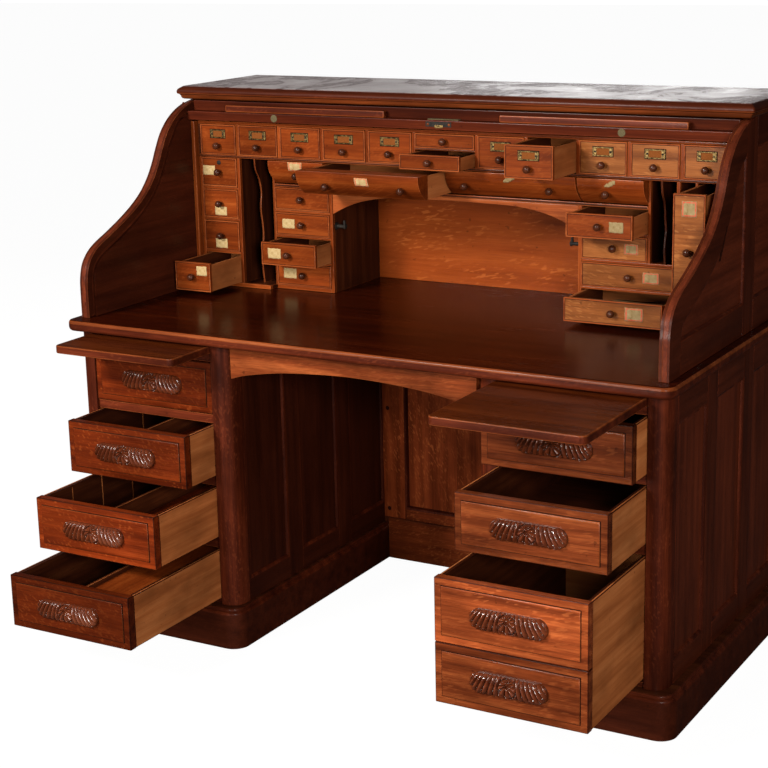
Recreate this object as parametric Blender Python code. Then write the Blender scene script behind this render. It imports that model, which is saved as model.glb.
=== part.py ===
"""Roll top desk: a two-pedestal oak desk with an open tambour and a 29-drawer gallery.

Metres, +Z up, front facing -Y. Lengths below are measured from the plane of the
pedestal fronts (y = 0), the floor (z = 0) and the middle of the desk (x = 0).
REST_SHIFT then moves everything so that the rest pose is centred over the origin.
Each piece that slides or turns has its origin on its own joint axis.
"""

import math

import bmesh
import bpy
from mathutils import Vector

REST_SHIFT = -0.2165

# Case
TOP_HALF = 0.768            # writing top, half width
TOP_UNDER = 0.7393
TOP_UPPER = 0.7650
CASE_BACK = 0.797
POST_OUTER = 0.752          # outer face of a pedestal
POST_INNER = 0.317          # kneehole face of a pedestal
BAY_INNER = 0.3660          # drawer bay of a pedestal, between its front posts
BAY_OUTER = 0.7060
SIDE_THICK = 0.024
PLINTH_TOP = 0.100
PEDESTAL_BASE = 0.1005
PEDESTAL_TOP = 0.7388
END_IN = 0.723              # upper ends, inner and outer faces
END_OUT = 0.7455
UPPER_BASE = 0.7655
UPPER_TOP = 1.2437

# Gallery
ROW_FRONT = 0.473           # drawer fronts of the top row and of the side columns
STACK_FRONT = 0.500         # drawer fronts of the two lower stacks
CASE_SET = 0.003            # the frame edges stand this far behind the drawer fronts
GALLERY_BACK = 0.735
GALLERY_HALF = 0.712
GALLERY_TOP = 1.190
FLOOR = 0.776               # upper side of the gallery's base boards

# Tambour path
RUN_Z = 1.2055
BEND_Y = 0.725
BEND_R = 0.040

# Fits
EASE = 0.0008               # drawer front to its opening, each side
OAK_DARK = (0.105, 0.030, 0.012)
OAK_RED = (0.190, 0.055, 0.020)
OAK_GOLD = (0.300, 0.110, 0.035)
OAK_PALE = (0.450, 0.230, 0.095)


def clear_scene():
    for old in list(bpy.data.objects):
        bpy.data.objects.remove(old, do_unlink=True)


def finish_material(name, colour, roughness):
    material = bpy.data.materials.new(name)
    material.use_nodes = True
    shader = material.node_tree.nodes["Principled BSDF"]
    shader.inputs["Base Color"].default_value = (*colour, 1.0)
    shader.inputs["Roughness"].default_value = roughness
    shader.inputs["Metallic"].default_value = 0.0
    return material


def mesh_object(name, verts, faces):
    """A closed mesh with its normals turned outward."""
    mesh = bpy.data.meshes.new(name)
    work = bmesh.new()
    points = [work.verts.new(v) for v in verts]
    for face in faces:
        work.faces.new([points[i] for i in face])
    bmesh.ops.recalc_face_normals(work, faces=work.faces[:])
    work.to_mesh(mesh)
    work.free()
    obj = bpy.data.objects.new(name, mesh)
    bpy.context.scene.collection.objects.link(obj)
    return obj


def finish(obj, colour, roughness=0.45):
    obj.data.materials.clear()
    obj.data.materials.append(finish_material(obj.name + "_finish", colour, roughness))
    return obj


def set_origin(obj, point):
    """Moves the object's origin to a point without moving its surface."""
    shift = Vector(point)
    for vertex in obj.data.vertices:
        vertex.co -= shift
    obj.location = shift


def boards(name, added, cut=()):
    """One closed body from axis-aligned boards ((x0, x1), (y0, y1), (z0, z1)), less the cut ones."""
    every = list(added) + list(cut)
    lines = [sorted({round(v, 6) for box in every for v in box[axis]}) for axis in range(3)]
    at = [{value: i for i, value in enumerate(line)} for line in lines]
    filled = set()
    for box in every:
        spans = [range(at[a][round(box[a][0], 6)], at[a][round(box[a][1], 6)]) for a in range(3)]
        cells = {(i, j, k) for i in spans[0] for j in spans[1] for k in spans[2]}
        filled = filled - cells if box in cut else filled | cells
    corner = {}
    work = bmesh.new()

    def vertex(key):
        if key not in corner:
            corner[key] = work.verts.new([lines[a][key[a]] for a in range(3)])
        return corner[key]

    loops = {
        (1, 0, 0): [(1, 0, 0), (1, 1, 0), (1, 1, 1), (1, 0, 1)],
        (-1, 0, 0): [(0, 0, 0), (0, 0, 1), (0, 1, 1), (0, 1, 0)],
        (0, 1, 0): [(0, 1, 0), (0, 1, 1), (1, 1, 1), (1, 1, 0)],
        (0, -1, 0): [(0, 0, 0), (1, 0, 0), (1, 0, 1), (0, 0, 1)],
        (0, 0, 1): [(0, 0, 1), (1, 0, 1), (1, 1, 1), (0, 1, 1)],
        (0, 0, -1): [(0, 0, 0), (0, 1, 0), (1, 1, 0), (1, 0, 0)],
    }
    for cell in sorted(filled):
        for step, loop in loops.items():
            if tuple(c + s for c, s in zip(cell, step)) not in filled:
                work.faces.new([vertex(tuple(c + o for c, o in zip(cell, off))) for off in loop])
    bmesh.ops.dissolve_limit(
        work, angle_limit=0.001, verts=work.verts[:], edges=work.edges[:], use_dissolve_boundaries=False
    )
    mesh = bpy.data.meshes.new(name)
    work.to_mesh(mesh)
    work.free()
    obj = bpy.data.objects.new(name, mesh)
    bpy.context.scene.collection.objects.link(obj)
    return obj


def prism(name, outline, axis, low, high):
    """A flat outline carried along an axis: 'x' takes (y, z) points and 'z' takes (x, y) points."""
    count = len(outline)
    if axis == "x":
        verts = [(low, a, b) for a, b in outline] + [(high, a, b) for a, b in outline]
    elif axis == "y":
        verts = [(a, low, b) for a, b in outline] + [(a, high, b) for a, b in outline]
    else:
        verts = [(a, b, low) for a, b in outline] + [(a, b, high) for a, b in outline]
    faces = [list(range(count)), list(range(count, 2 * count))]
    faces += [[i, (i + 1) % count, count + (i + 1) % count, count + i] for i in range(count)]
    return mesh_object(name, verts, faces)


def loft(name, levels):
    """A stack of outlines, each ((x, y) points, z), closed at both ends."""
    count = len(levels[0][0])
    verts = [(x, y, z) for outline, z in levels for x, y in outline]
    faces = [list(range(count)), list(range(len(verts) - count, len(verts)))]
    for level in range(len(levels) - 1):
        base = level * count
        for i in range(count):
            j = (i + 1) % count
            faces.append([base + i, base + j, base + count + j, base + count + i])
    return mesh_object(name, verts, faces)


def turned(name, centre, profile, segments=8):
    """A turned shape whose axis runs along Y: the profile is (radius, distance towards the front)."""
    x, y, z = centre
    verts = []
    for radius, out in profile:
        for i in range(segments):
            a = 2 * math.pi * (i + 0.5) / segments
            verts.append((x + radius * math.cos(a), y - out, z + radius * math.sin(a)))
    last = len(profile) - 1
    faces = [list(range(segments)), list(range(last * segments, (last + 1) * segments))]
    for ring in range(last):
        for i in range(segments):
            j = (i + 1) % segments
            base = ring * segments
            faces.append([base + i, base + j, base + segments + j, base + segments + i])
    return mesh_object(name, verts, faces)


def combine(obj, tool, operation):
    """Applies an exact Boolean and removes the tool."""
    step = obj.modifiers.new("step", "BOOLEAN")
    step.operation = operation
    step.solver = "EXACT"
    step.object = tool
    graph = bpy.context.evaluated_depsgraph_get()
    mesh = bpy.data.meshes.new_from_object(obj.evaluated_get(graph))
    obj.modifiers.clear()
    old = obj.data
    obj.data = mesh
    mesh.name = obj.name
    bpy.data.meshes.remove(old)
    bpy.data.objects.remove(tool, do_unlink=True)
    return obj


def arc(cy, cz, radius, start, end, steps):
    """Points on an arc, with angles in degrees."""
    turn = [math.radians(start + (end - start) * i / steps) for i in range(steps + 1)]
    return [(cy + radius * math.cos(a), cz + radius * math.sin(a)) for a in turn]


def smooth(points, steps=3):
    """A Catmull-Rom curve through the points."""
    ends = [points[0]] + list(points) + [points[-1]]
    curve = []
    for i in range(1, len(ends) - 2):
        a, b, c, d = (Vector(p) for p in ends[i - 1:i + 3])
        for k in range(steps):
            t = k / steps
            p = 0.5 * (2 * b + (c - a) * t + (2 * a - 5 * b + 4 * c - d) * t * t
                       + (3 * b - a - 3 * c + d) * t ** 3)
            curve.append((p.x, p.y))
    curve.append(tuple(points[-1]))
    return curve


def inset_path(points, distance):
    """The path moved sideways, to the right of its direction of travel."""
    moved = []
    for i, point in enumerate(points):
        a = Vector(points[max(i - 1, 0)])
        b = Vector(points[min(i + 1, len(points) - 1)])
        along = (b - a).normalized()
        moved.append((point[0] + along.y * distance, point[1] - along.x * distance))
    return moved


# The S of the upper ends, from the writing top to the crown, as (y, z).
S_CURVE = [
    (0.012, UPPER_BASE), (0.012, 0.830), (0.014, 0.862), (0.024, 0.894), (0.046, 0.919),
    (0.076, 0.937), (0.120, 0.955), (0.172, 0.978), (0.222, 1.004), (0.262, 1.031),
    (0.294, 1.063), (0.318, 1.098), (0.337, 1.134), (0.358, 1.168), (0.388, 1.198),
    (0.426, 1.221), (0.470, 1.236), (0.512, UPPER_TOP),
]


def mirror_x(points, side):
    return [(x * side, y) for x, y in points]


def upper_end(name, side):
    """An S-shaped upper end with two sunk panels outside and the tambour groove inside."""
    curve = smooth(S_CURVE, 2)
    outline = curve + [(CASE_BACK, UPPER_TOP), (CASE_BACK, UPPER_BASE)]
    inner, outer = sorted((END_IN * side, END_OUT * side))
    obj = prism(name, outline, "x", inner, outer)
    sunk = sorted(((END_OUT - 0.005) * side, (END_OUT + 0.01) * side))
    rim = inset_path(smooth(S_CURVE[2:16], 2), 0.062)
    front_panel = [p for p in rim if p[1] > 0.850 and p[0] < 0.452]
    front_panel = [(front_panel[0][0], 0.838)] + front_panel + [(0.462, 1.172), (0.462, 0.838)]
    combine(obj, prism("cut", front_panel, "x", *sunk), "DIFFERENCE")
    rear_panel = [(0.530, 0.838), (0.530, 1.180), (0.738, 1.180), (0.738, 0.838)]
    combine(obj, prism("cut", rear_panel, "x", *sunk), "DIFFERENCE")
    path = inset_path(smooth(S_CURVE[:14], 2), 0.024)
    path = [p for p in path if p[0] < 0.400]
    path[0] = (path[0][0], UPPER_BASE + 0.008)
    path += [(0.414, 1.1985), (0.434, RUN_Z), (0.560, RUN_Z), (BEND_Y, RUN_Z)]
    path += arc(BEND_Y, RUN_Z - BEND_R, BEND_R, 75, 0, 5)
    path += [(BEND_Y + BEND_R, 0.774)]
    groove = inset_path(path, -0.0052) + list(reversed(inset_path(path, 0.0052)))
    depth = sorted(((END_IN - 0.005) * side, (END_IN + 0.0075) * side))
    combine(obj, prism("cut", groove, "x", *depth), "DIFFERENCE")
    return finish(obj, OAK_DARK, 0.38)


def crown():
    """The crown board: a flat top over a moulded edge on its front and ends."""
    back = 0.804
    steps = [
        (0.7470, 0.4690, 1.2445), (0.7515, 0.4640, 1.2480), (0.7535, 0.4620, 1.2530), (0.7545, 0.4610, 1.2555),
        (0.7585, 0.4570, 1.2575), (0.7600, 0.4550, 1.2610), (0.7595, 0.4555, 1.2660),
        (0.7555, 0.4600, 1.2710), (0.7515, 0.4660, 1.2755), (0.7475, 0.4710, 1.2770),
    ]
    levels = [([(-x, y), (x, y), (x, back), (-x, back)], z) for x, y, z in steps]
    return finish(loft("crown_top", levels), OAK_DARK, 0.30)


def rounded_front(half_low, half_high, front, back, radius, inset):
    """A plan outline with round front corners."""
    x0 = half_low + inset
    x1 = half_high - inset
    y0 = front + inset
    r = radius - inset
    left = [(x0 + r - r * math.sin(a), y0 + r - r * math.cos(a)) for a in
            (math.radians(90 - 18 * i) for i in range(6))]
    right = [(x1 - r + r * math.sin(a), y0 + r - r * math.cos(a)) for a in
             (math.radians(18 * i) for i in range(6))]
    return left + right + [(x1, back), (x0, back)]


def writing_top():
    steps = [(0.007, TOP_UNDER), (0.002, 0.7420), (0.0, 0.7470), (0.0, 0.7580), (0.002, 0.7625), (0.006, TOP_UPPER)]
    levels = [(rounded_front(-TOP_HALF, TOP_HALF, -0.028, CASE_BACK, 0.026, inset), z) for inset, z in steps]
    return finish(loft("writing_top", levels), OAK_DARK, 0.25)


def plinth(name, side):
    """A base frame, open in the middle, with a small lip round its top."""
    low, high = sorted((0.302 * side, 0.778 * side))
    steps = [(0.0, 0.0), (0.0, 0.086), (0.002, 0.0905), (0.006, 0.0925), (0.006, 0.097), (0.009, PLINTH_TOP)]
    levels = [(rounded_front(low, high, -0.025, CASE_BACK, 0.040, inset), z) for inset, z in steps]
    obj = loft(name, levels)
    hole = boards("cut", [((low + 0.038, high - 0.048), (0.020, 0.750), (-0.01, 0.12))])
    combine(obj, hole, "DIFFERENCE")
    return finish(obj, OAK_DARK, 0.42)


PANEL_Y = ((0.056, 0.229), (0.291, 0.466), (0.529, 0.704))


def pedestal_side(name, side, outer):
    """A post with a round corner and, behind it, a frame with three tall sunk panels."""
    face = POST_OUTER if outer else POST_INNER
    inward = -1 if outer else 1
    bay = BAY_OUTER if outer else BAY_INNER
    r = 0.034
    centre = face + inward * r
    corner = [(centre - inward * r * math.sin(a), r - r * math.cos(a)) for a in
              (math.radians(15 * i) for i in range(7))]
    outline = [(bay, 0.0), *corner, (face, 0.790), (face + inward * SIDE_THICK, 0.790),
               (face + inward * SIDE_THICK, 0.050), (bay, 0.050)]
    obj = prism(name, mirror_x(outline, side), "z", PEDESTAL_BASE, PEDESTAL_TOP)
    cut = sorted(((face - inward * 0.01) * side, (face + inward * 0.006) * side))
    top = 0.672 if outer else 0.690
    for y0, y1 in PANEL_Y:
        combine(obj, boards("cut", [(cut, (y0, y1), (0.154, top))]), "DIFFERENCE")
    return finish(obj, OAK_DARK, 0.40)


DRAWER_Z = {1: (0.5695, 0.6930), 2: (0.4195, 0.5455), 3: (0.2680, 0.3930), 4: (0.1135, 0.2385)}
RAIL_Z = [(0.1005, 0.1122), (0.2398, 0.2667), (0.3943, 0.4182), (0.5468, 0.5682), (0.6943, 0.7148), (0.7353, 0.7388)]


def pedestal_frame(name, side, rails):
    """Front rails, the runners behind them and the back board, as one carcass."""
    parts = [((0.3413, 0.7277), (0.772, 0.788), (PEDESTAL_BASE, PEDESTAL_TOP))]
    for z0, z1 in rails:
        parts.append(((0.3663, 0.7057), (0.008, 0.046), (z0, z1)))
        parts.append(((0.3663, 0.3800), (0.046, 0.0503), (z0, z1)))
        parts.append(((0.6920, 0.7057), (0.046, 0.0503), (z0, z1)))
        parts.append(((0.3413, 0.3800), (0.0503, 0.772), (z0, z1)))
        parts.append(((0.6920, 0.7277), (0.0503, 0.772), (z0, z1)))
    parts = [(tuple(sorted((x[0] * side, x[1] * side))), y, z) for x, y, z in parts]
    return finish(boards(name, parts), OAK_RED, 0.5)


def kneehole_back():
    """Framed panel between the pedestals, with a base board to the floor."""
    half = 0.3012
    added = [
        ((-half, half), (0.712, 0.722), (0.0, PEDESTAL_TOP)),
        ((-half, -0.250), (0.700, 0.712), (0.1150, PEDESTAL_TOP)),
        ((0.250, half), (0.700, 0.712), (0.1150, PEDESTAL_TOP)),
        ((-half, half), (0.700, 0.712), (0.1150, 0.1450)),
        ((-half, half), (0.700, 0.712), (0.6500, PEDESTAL_TOP)),
        ((-half, half), (0.694, 0.712), (0.0, 0.1150)),
        ((-0.3165, -half), (0.700, 0.722), (0.1010, PEDESTAL_TOP)),
        ((half, 0.3165), (0.700, 0.722), (0.1010, PEDESTAL_TOP)),
    ]
    return finish(boards("kneehole_back", added), OAK_RED, 0.45)


def kneehole_apron():
    under = [(-0.3165, 0.659), (-0.285, 0.669), (-0.240, 0.678), (-0.180, 0.687), (-0.120, 0.692), (-0.060, 0.6955)]
    lower = under + [(0.0, 0.697)] + [(-x, z) for x, z in reversed(under)]
    outline = lower + [(0.3165, PEDESTAL_TOP), (-0.3165, PEDESTAL_TOP)]
    return finish(prism("kneehole_apron", outline, "y", 0.008, 0.030), OAK_DARK, 0.35)


SHELF = (1.0980, 1.1045)    # the board under the top row
CASE_TOP = 1.0977           # upper ends of the two lower cases, just under that board
COVE_SHELF = (1.0270, 1.0350)


def gallery_top_frame():
    """The upper frame of the gallery: top row, cove row, the arched strip below it and the back panel."""
    front = ROW_FRONT + CASE_SET
    stack = STACK_FRONT + CASE_SET
    back = GALLERY_BACK + 0.0010
    depth = (front, back)
    parts = [
        ((-GALLERY_HALF, GALLERY_HALF), depth, (1.1825, GALLERY_TOP)),
        ((-GALLERY_HALF, GALLERY_HALF), depth, SHELF),
        ((-0.080, 0.080), depth, (1.1420, 1.1460)),
        ((-0.5017, 0.5037), (stack, back), COVE_SHELF),
        ((-GALLERY_HALF, GALLERY_HALF), (0.7355, 0.7435), (UPPER_BASE, GALLERY_TOP)),
        ((-0.003, 0.003), (0.530, back), (COVE_SHELF[1], SHELF[0])),
    ]
    for side in (-1, 1):
        parts.append((tuple(sorted((0.704 * side, GALLERY_HALF * side))), depth, (SHELF[0], GALLERY_TOP)))
        for x in (0.084, 0.2125, 0.342, 0.467, 0.592):
            parts.append((tuple(sorted(((x - 0.004) * side, (x + 0.004) * side))), depth, (SHELF[1], 1.1825)))
        parts.append((tuple(sorted((0.336 * side, 0.342 * side))), (0.530, back), (COVE_SHELF[1], SHELF[0])))
    obj = boards("gallery_top_frame", parts)
    half = [(-0.3325, 0.966), (-0.315, 0.976), (-0.285, 0.990), (-0.250, 1.002), (-0.205, 1.011), (-0.150, 1.0165)]
    lower = half + [(0.0, 1.0190)] + [(-x, z) for x, z in reversed(half)]
    outline = lower + [(0.3325, 1.0285), (-0.3325, 1.0285)]
    combine(obj, prism("valance", outline, "y", 0.506, 0.514), "UNION")
    return finish(obj, OAK_GOLD, 0.5)


def wavy_divider(case, x, foot):
    """A thin letter divider with a wavy front edge, standing in its case."""
    span = 1.098 - foot
    wave = [(0.478, CASE_TOP), (0.482, 1.070), (0.497, 1.045), (0.505, 1.010), (0.500, 1.098 - 0.40 * span)]
    wave += [(0.508, 1.098 - 0.60 * span), (0.499, 1.098 - 0.80 * span), (0.505, foot - 0.0015)]
    outline = smooth(wave, 2) + [(0.730, foot - 0.0015), (0.730, CASE_TOP)]
    combine(case, prism("divider", outline, "x", x - 0.002, x + 0.002), "UNION")


def gallery_left_case():
    """The left part of the gallery: drawer column, letter slots and stack."""
    depth = (ROW_FRONT + CASE_SET, GALLERY_BACK)
    low = (STACK_FRONT + CASE_SET, GALLERY_BACK)
    parts = [
        ((-GALLERY_HALF, -0.704), depth, (UPPER_BASE, CASE_TOP)),
        ((-0.704, -0.508), depth, (UPPER_BASE, FLOOR)),
        ((-0.508, -0.341), low, (UPPER_BASE, FLOOR)),
        ((-0.596, -0.588), depth, (FLOOR, CASE_TOP)),
        ((-0.508, -0.502), low, (UPPER_BASE, CASE_TOP)),
        ((-0.341, -0.333), low, (UPPER_BASE, 1.0267)),
    ]
    for z0, z1 in ((0.851, 0.857), (0.936, 0.942), (1.017, 1.023)):
        parts.append(((-0.704, -0.596), depth, (z0, z1)))
    for z0, z1 in ((0.8335, 0.8395), (0.8985, 0.9045), (0.9635, 0.9695)):
        parts.append(((-0.502, -0.341), low, (z0, z1)))
    obj = boards("gallery_left_case", parts)
    wavy_divider(obj, -0.545, FLOOR)
    return finish(obj, OAK_GOLD, 0.5)


def gallery_right_case():
    """The right part of the gallery: stack, letter slots, narrow slot and the tall drawer's bay."""
    depth = (ROW_FRONT + CASE_SET, GALLERY_BACK)
    low = (STACK_FRONT + CASE_SET, GALLERY_BACK)
    parts = [
        ((0.704, GALLERY_HALF), depth, (UPPER_BASE, CASE_TOP)),
        ((0.333, 0.341), low, (UPPER_BASE, 1.0267)),
        ((0.341, 0.581), low, (UPPER_BASE, FLOOR)),
        ((0.581, 0.704), depth, (UPPER_BASE, FLOOR)),
        ((0.581, 0.589), depth, (FLOOR, CASE_TOP)),
        ((0.624, 0.630), depth, (FLOOR, CASE_TOP)),
        ((0.504, 0.510), low, (0.8985, CASE_TOP)),
        ((0.341, 0.581), low, (0.8985, 0.9045)),
        ((0.341, 0.581), low, (0.8335, 0.8395)),
        ((0.341, 0.504), low, (0.9635, 0.9695)),
    ]
    obj = boards("gallery_right_case", parts)
    wavy_divider(obj, 0.545, 0.9045)
    return finish(obj, OAK_GOLD, 0.5)


KNOB = [(0.0045, -0.003), (0.0045, 0.004), (0.0085, 0.009), (0.0088, 0.013), (0.0055, 0.0175), (0.002, 0.0185)]


def slide_origin(obj, x, y, z, extension):
    """Puts the origin at the middle of the closed front, carried out by the rest extension."""
    set_origin(obj, (x, y - extension, z))
    return obj


def gallery_drawer(name, x, z, front, extension, knobs=((0.5, 0.5),), deep=0.245):
    """A small drawer: x and z are the opening, and knobs are at fractions of the front."""
    x0, x1 = x[0] + EASE, x[1] - EASE
    z0, z1 = z[0] + EASE, z[1] - EASE
    wall = 0.006
    y1 = front + deep
    added = [((x0, x1), (front, front + 0.010), (z0, z1))]
    added.append(((x0 + 0.0008, x1 - 0.0008), (front + 0.010, y1), (z0 + 0.001, z1 - 0.004)))
    cut = [((x0 + wall, x1 - wall), (front + 0.010, y1 - wall), (z0 + 0.005, z1 - 0.004))]
    added = move_boards(added, extension)
    cut = move_boards(cut, extension)
    obj = boards(name, added, cut)
    for fx, fz in knobs:
        spot = (x0 + fx * (x1 - x0), front - extension, z0 + fz * (z1 - z0))
        combine(obj, turned("knob", spot, KNOB), "UNION")
    slide_origin(obj, (x0 + x1) / 2, front, (z0 + z1) / 2, extension)
    return finish(obj, OAK_GOLD, 0.42)


def move_boards(parts, extension):
    return [(x, (y[0] - extension, y[1] - extension), z) for x, y, z in parts]


COVE = [(0.4730, 1.0965), (0.4732, 1.0860), (0.4765, 1.0730), (0.4845, 1.0600), (0.4960, 1.0480), (0.5100, 1.0368)]


def cove_drawer(name, x, extension, knobs):
    """A drawer whose front is rounded under, with its box behind."""
    x0, x1 = x[0] + EASE, x[1] - EASE
    curve = [(y - extension, z) for y, z in COVE]
    back_face = 0.522 - extension
    outline = curve + [(back_face, curve[-1][1]), (back_face, curve[0][1])]
    obj = prism(name, outline, "x", x0, x1)
    y0, y1 = 0.516 - extension, 0.725 - extension
    tray = boards(
        "tray",
        [((x0 + 0.0012, x1 - 0.0012), (y0, y1), (1.0375, 1.0935))],
        [((x0 + 0.007, x1 - 0.007), (y0, y1 - 0.006), (1.0415, 1.0935))],
    )
    combine(obj, tray, "UNION")
    for fx in knobs:
        spot = (x0 + fx * (x1 - x0), 0.4850 - extension, 1.0600)
        combine(obj, turned("knob", spot, KNOB), "UNION")
    slide_origin(obj, (x0 + x1) / 2, ROW_FRONT, 1.066, extension)
    return finish(obj, OAK_GOLD, 0.42)


PULL_HALF = (0.086, 0.0225)   # half width and half height of a carved pull


def pull(x, y, z):
    """The envelope of a carved leaf pull: a low dome."""
    profile = [(1.0, -0.004), (1.0, 0.004), (0.90, 0.011), (0.60, 0.0165), (0.15, 0.0185)]
    obj = turned("pull", (0.0, y, 0.0), profile, 14)
    for vertex in obj.data.vertices:
        vertex.co.x = x + vertex.co.x * PULL_HALF[0]
        vertex.co.z = z + vertex.co.z * PULL_HALF[1]
    return obj


def pedestal_drawer(name, side, z, extension, fields):
    """A deep drawer with a raised field and a carved pull on each front panel."""
    z0, z1 = z
    x0, x1 = 0.3668, 0.7052
    deep = 0.640
    added = [((x0, x1), (0.003, 0.024), (z0, z1))]
    for f0, f1 in fields:
        added.append(((x0 + 0.017, x1 - 0.017), (0.000, 0.003), (f0 + 0.017, f1 - 0.017)))
    added.append(((x0 + 0.001, x1 - 0.001), (0.024, deep), (z0 + 0.0005, z1 - 0.010)))
    cut = [((x0 + 0.013, x1 - 0.013), (0.024, deep - 0.011), (z0 + 0.010, z1 - 0.010))]
    added = [(tuple(sorted((x[0] * side, x[1] * side))), y, zz) for x, y, zz in move_boards(added, extension)]
    cut = [(tuple(sorted((x[0] * side, x[1] * side))), y, zz) for x, y, zz in move_boards(cut, extension)]
    obj = boards(name, added, cut)
    middle = side * (x0 + x1) / 2
    for f0, f1 in fields:
        combine(obj, pull(middle, -extension, (f0 + f1) / 2), "UNION")
    slide_origin(obj, middle, 0.0, (z0 + z1) / 2, extension)
    return finish(obj, OAK_RED, 0.38)


def writing_slide(name, side, extension):
    """A pull-out board with rounded front corners."""
    low, high = sorted((0.3672 * side, 0.7048 * side))
    outline = rounded_front(low, high, 0.004, 0.500, 0.014, 0.0)
    outline = [(x, y - extension) for x, y in outline]
    obj = loft(name, [(outline, 0.7158), (outline, 0.7345)])
    slide_origin(obj, side * 0.536, 0.004, 0.725, extension)
    return finish(obj, OAK_DARK, 0.35)


def tambour():
    """The open curtain: the lift rail over the gallery, the run behind it, the bend and the drop.

    Only the straight pieces have tongues, and each keeps inside its straight groove
    through the whole travel; the bend passes between the ends without touching them.
    """
    half = 0.7222
    tongue = 0.7288
    thick = (RUN_Z - 0.004, RUN_Z + 0.004)
    rail = boards("tambour_lift_rail", [
        ((-half, half), (0.447, 0.505), (1.1945, 1.2165)),
        ((-tongue, tongue), (0.470, 0.503), thick),
        ((-0.612, -0.153), (0.457, 0.472), (1.2165, 1.2330)),
        ((0.153, 0.612), (0.457, 0.472), (1.2165, 1.2330)),
    ])
    finish(rail, OAK_RED, 0.40)
    set_origin(rail, (0.0, 0.447, RUN_Z))
    run = boards("tambour_top_run", [((-half, half), (0.507, 0.722), thick), ((-tongue, tongue), (0.507, 0.720), thick)])
    finish(run, OAK_DARK, 0.45)
    set_origin(run, (0.0, 0.507, RUN_Z))
    centre_z = RUN_Z - BEND_R
    ring = arc(BEND_Y, centre_z, BEND_R + 0.004, 89, 1, 8) + arc(BEND_Y, centre_z, BEND_R - 0.004, 1, 89, 8)
    bend = prism("tambour_bend", ring, "x", -half, half)
    finish(bend, OAK_DARK, 0.45)
    set_origin(bend, (0.0, BEND_Y, centre_z))
    drop_y = BEND_Y + BEND_R
    drop = boards("tambour_back_run", [
        ((-half, half), (drop_y - 0.004, drop_y + 0.004), (0.784, 1.1635)),
        ((-tongue, tongue), (drop_y - 0.004, drop_y + 0.004), (0.784, 1.1300)),
    ])
    finish(drop, OAK_DARK, 0.45)
    set_origin(drop, (0.0, drop_y, 1.1635))


def small_drawers():
    card = (0.5, 0.30)
    edges = (0.080, 0.088, 0.2085, 0.2165, 0.338, 0.346, 0.463, 0.471, 0.588, 0.596, 0.704)
    cells = [(edges[i], edges[i + 1]) for i in range(1, 10, 2)]
    row = (1.1045, 1.1825)
    for i, (a, b) in enumerate(reversed(cells)):
        gallery_drawer(f"card_drawer_{i + 1:02d}", (-b, -a), row, ROW_FRONT, 0.0, (card,))
    for i, (a, b) in enumerate(cells):
        out = 0.123 if i == 1 else 0.0
        gallery_drawer(f"card_drawer_{i + 6:02d}", (a, b), row, ROW_FRONT, out, (card,))
    gallery_drawer("centre_drawer_upper", (-0.080, 0.080), (1.1460, 1.1825), ROW_FRONT, 0.0)
    gallery_drawer("centre_drawer_lower", (-0.080, 0.080), (1.1045, 1.1420), ROW_FRONT, 0.077)
    column = [((1.023, 1.098), 0.0), ((0.942, 1.017), 0.0), ((0.857, 0.936), 0.0), ((FLOOR, 0.851), 0.136)]
    for i, (z, out) in enumerate(column):
        gallery_drawer(f"column_drawer_{i + 1}", (-0.704, -0.596), z, ROW_FRONT, out)
    cove_drawer("cove_drawer_1", (-0.502, -0.340), 0.0, (0.5,))
    cove_drawer("cove_drawer_2", (-0.338, -0.001), 0.128, (0.24, 0.856))
    cove_drawer("cove_drawer_3", (0.001, 0.338), 0.0, (0.15, 0.804))
    cove_drawer("cove_drawer_4", (0.340, 0.504), 0.0, (0.43,))
    heights = [(0.9695, 1.0270), (0.9045, 0.9635), (0.8395, 0.8985), (FLOOR, 0.8335)]
    for i, z in enumerate(heights):
        out = 0.070 if i == 2 else 0.0
        gallery_drawer(f"stack_left_{i + 1}", (-0.502, -0.341), z, STACK_FRONT, out, deep=0.222)
    wide = ((0.341, 0.504), (0.341, 0.504), (0.341, 0.581), (0.341, 0.581))
    drawn = (0.090, 0.0, 0.0, 0.100)
    for i, z in enumerate(heights):
        gallery_drawer(f"stack_right_{i + 1}", wide[i], z, STACK_FRONT, drawn[i], deep=0.222)
    gallery_drawer("tall_drawer", (0.630, 0.704), (FLOOR, 1.098), ROW_FRONT, 0.152, ((0.5, 0.61),))


def large_drawers():
    for i, out in ((1, 0.0), (2, 0.1165), (3, 0.2470), (4, 0.3540)):
        z = DRAWER_Z[i]
        pedestal_drawer(f"pedestal_drawer_left_{i}", -1, z, out, [z])
    for i, out in ((1, 0.0780), (2, 0.2000)):
        z = DRAWER_Z[i]
        pedestal_drawer(f"pedestal_drawer_right_{i}", 1, z, out, [z])
    low, high = 0.1205, DRAWER_Z[3][1]
    middle = 0.2535
    pedestal_drawer("pedestal_drawer_right_3", 1, (low, high), 0.2920, [(low, middle), (middle, high)])


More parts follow.
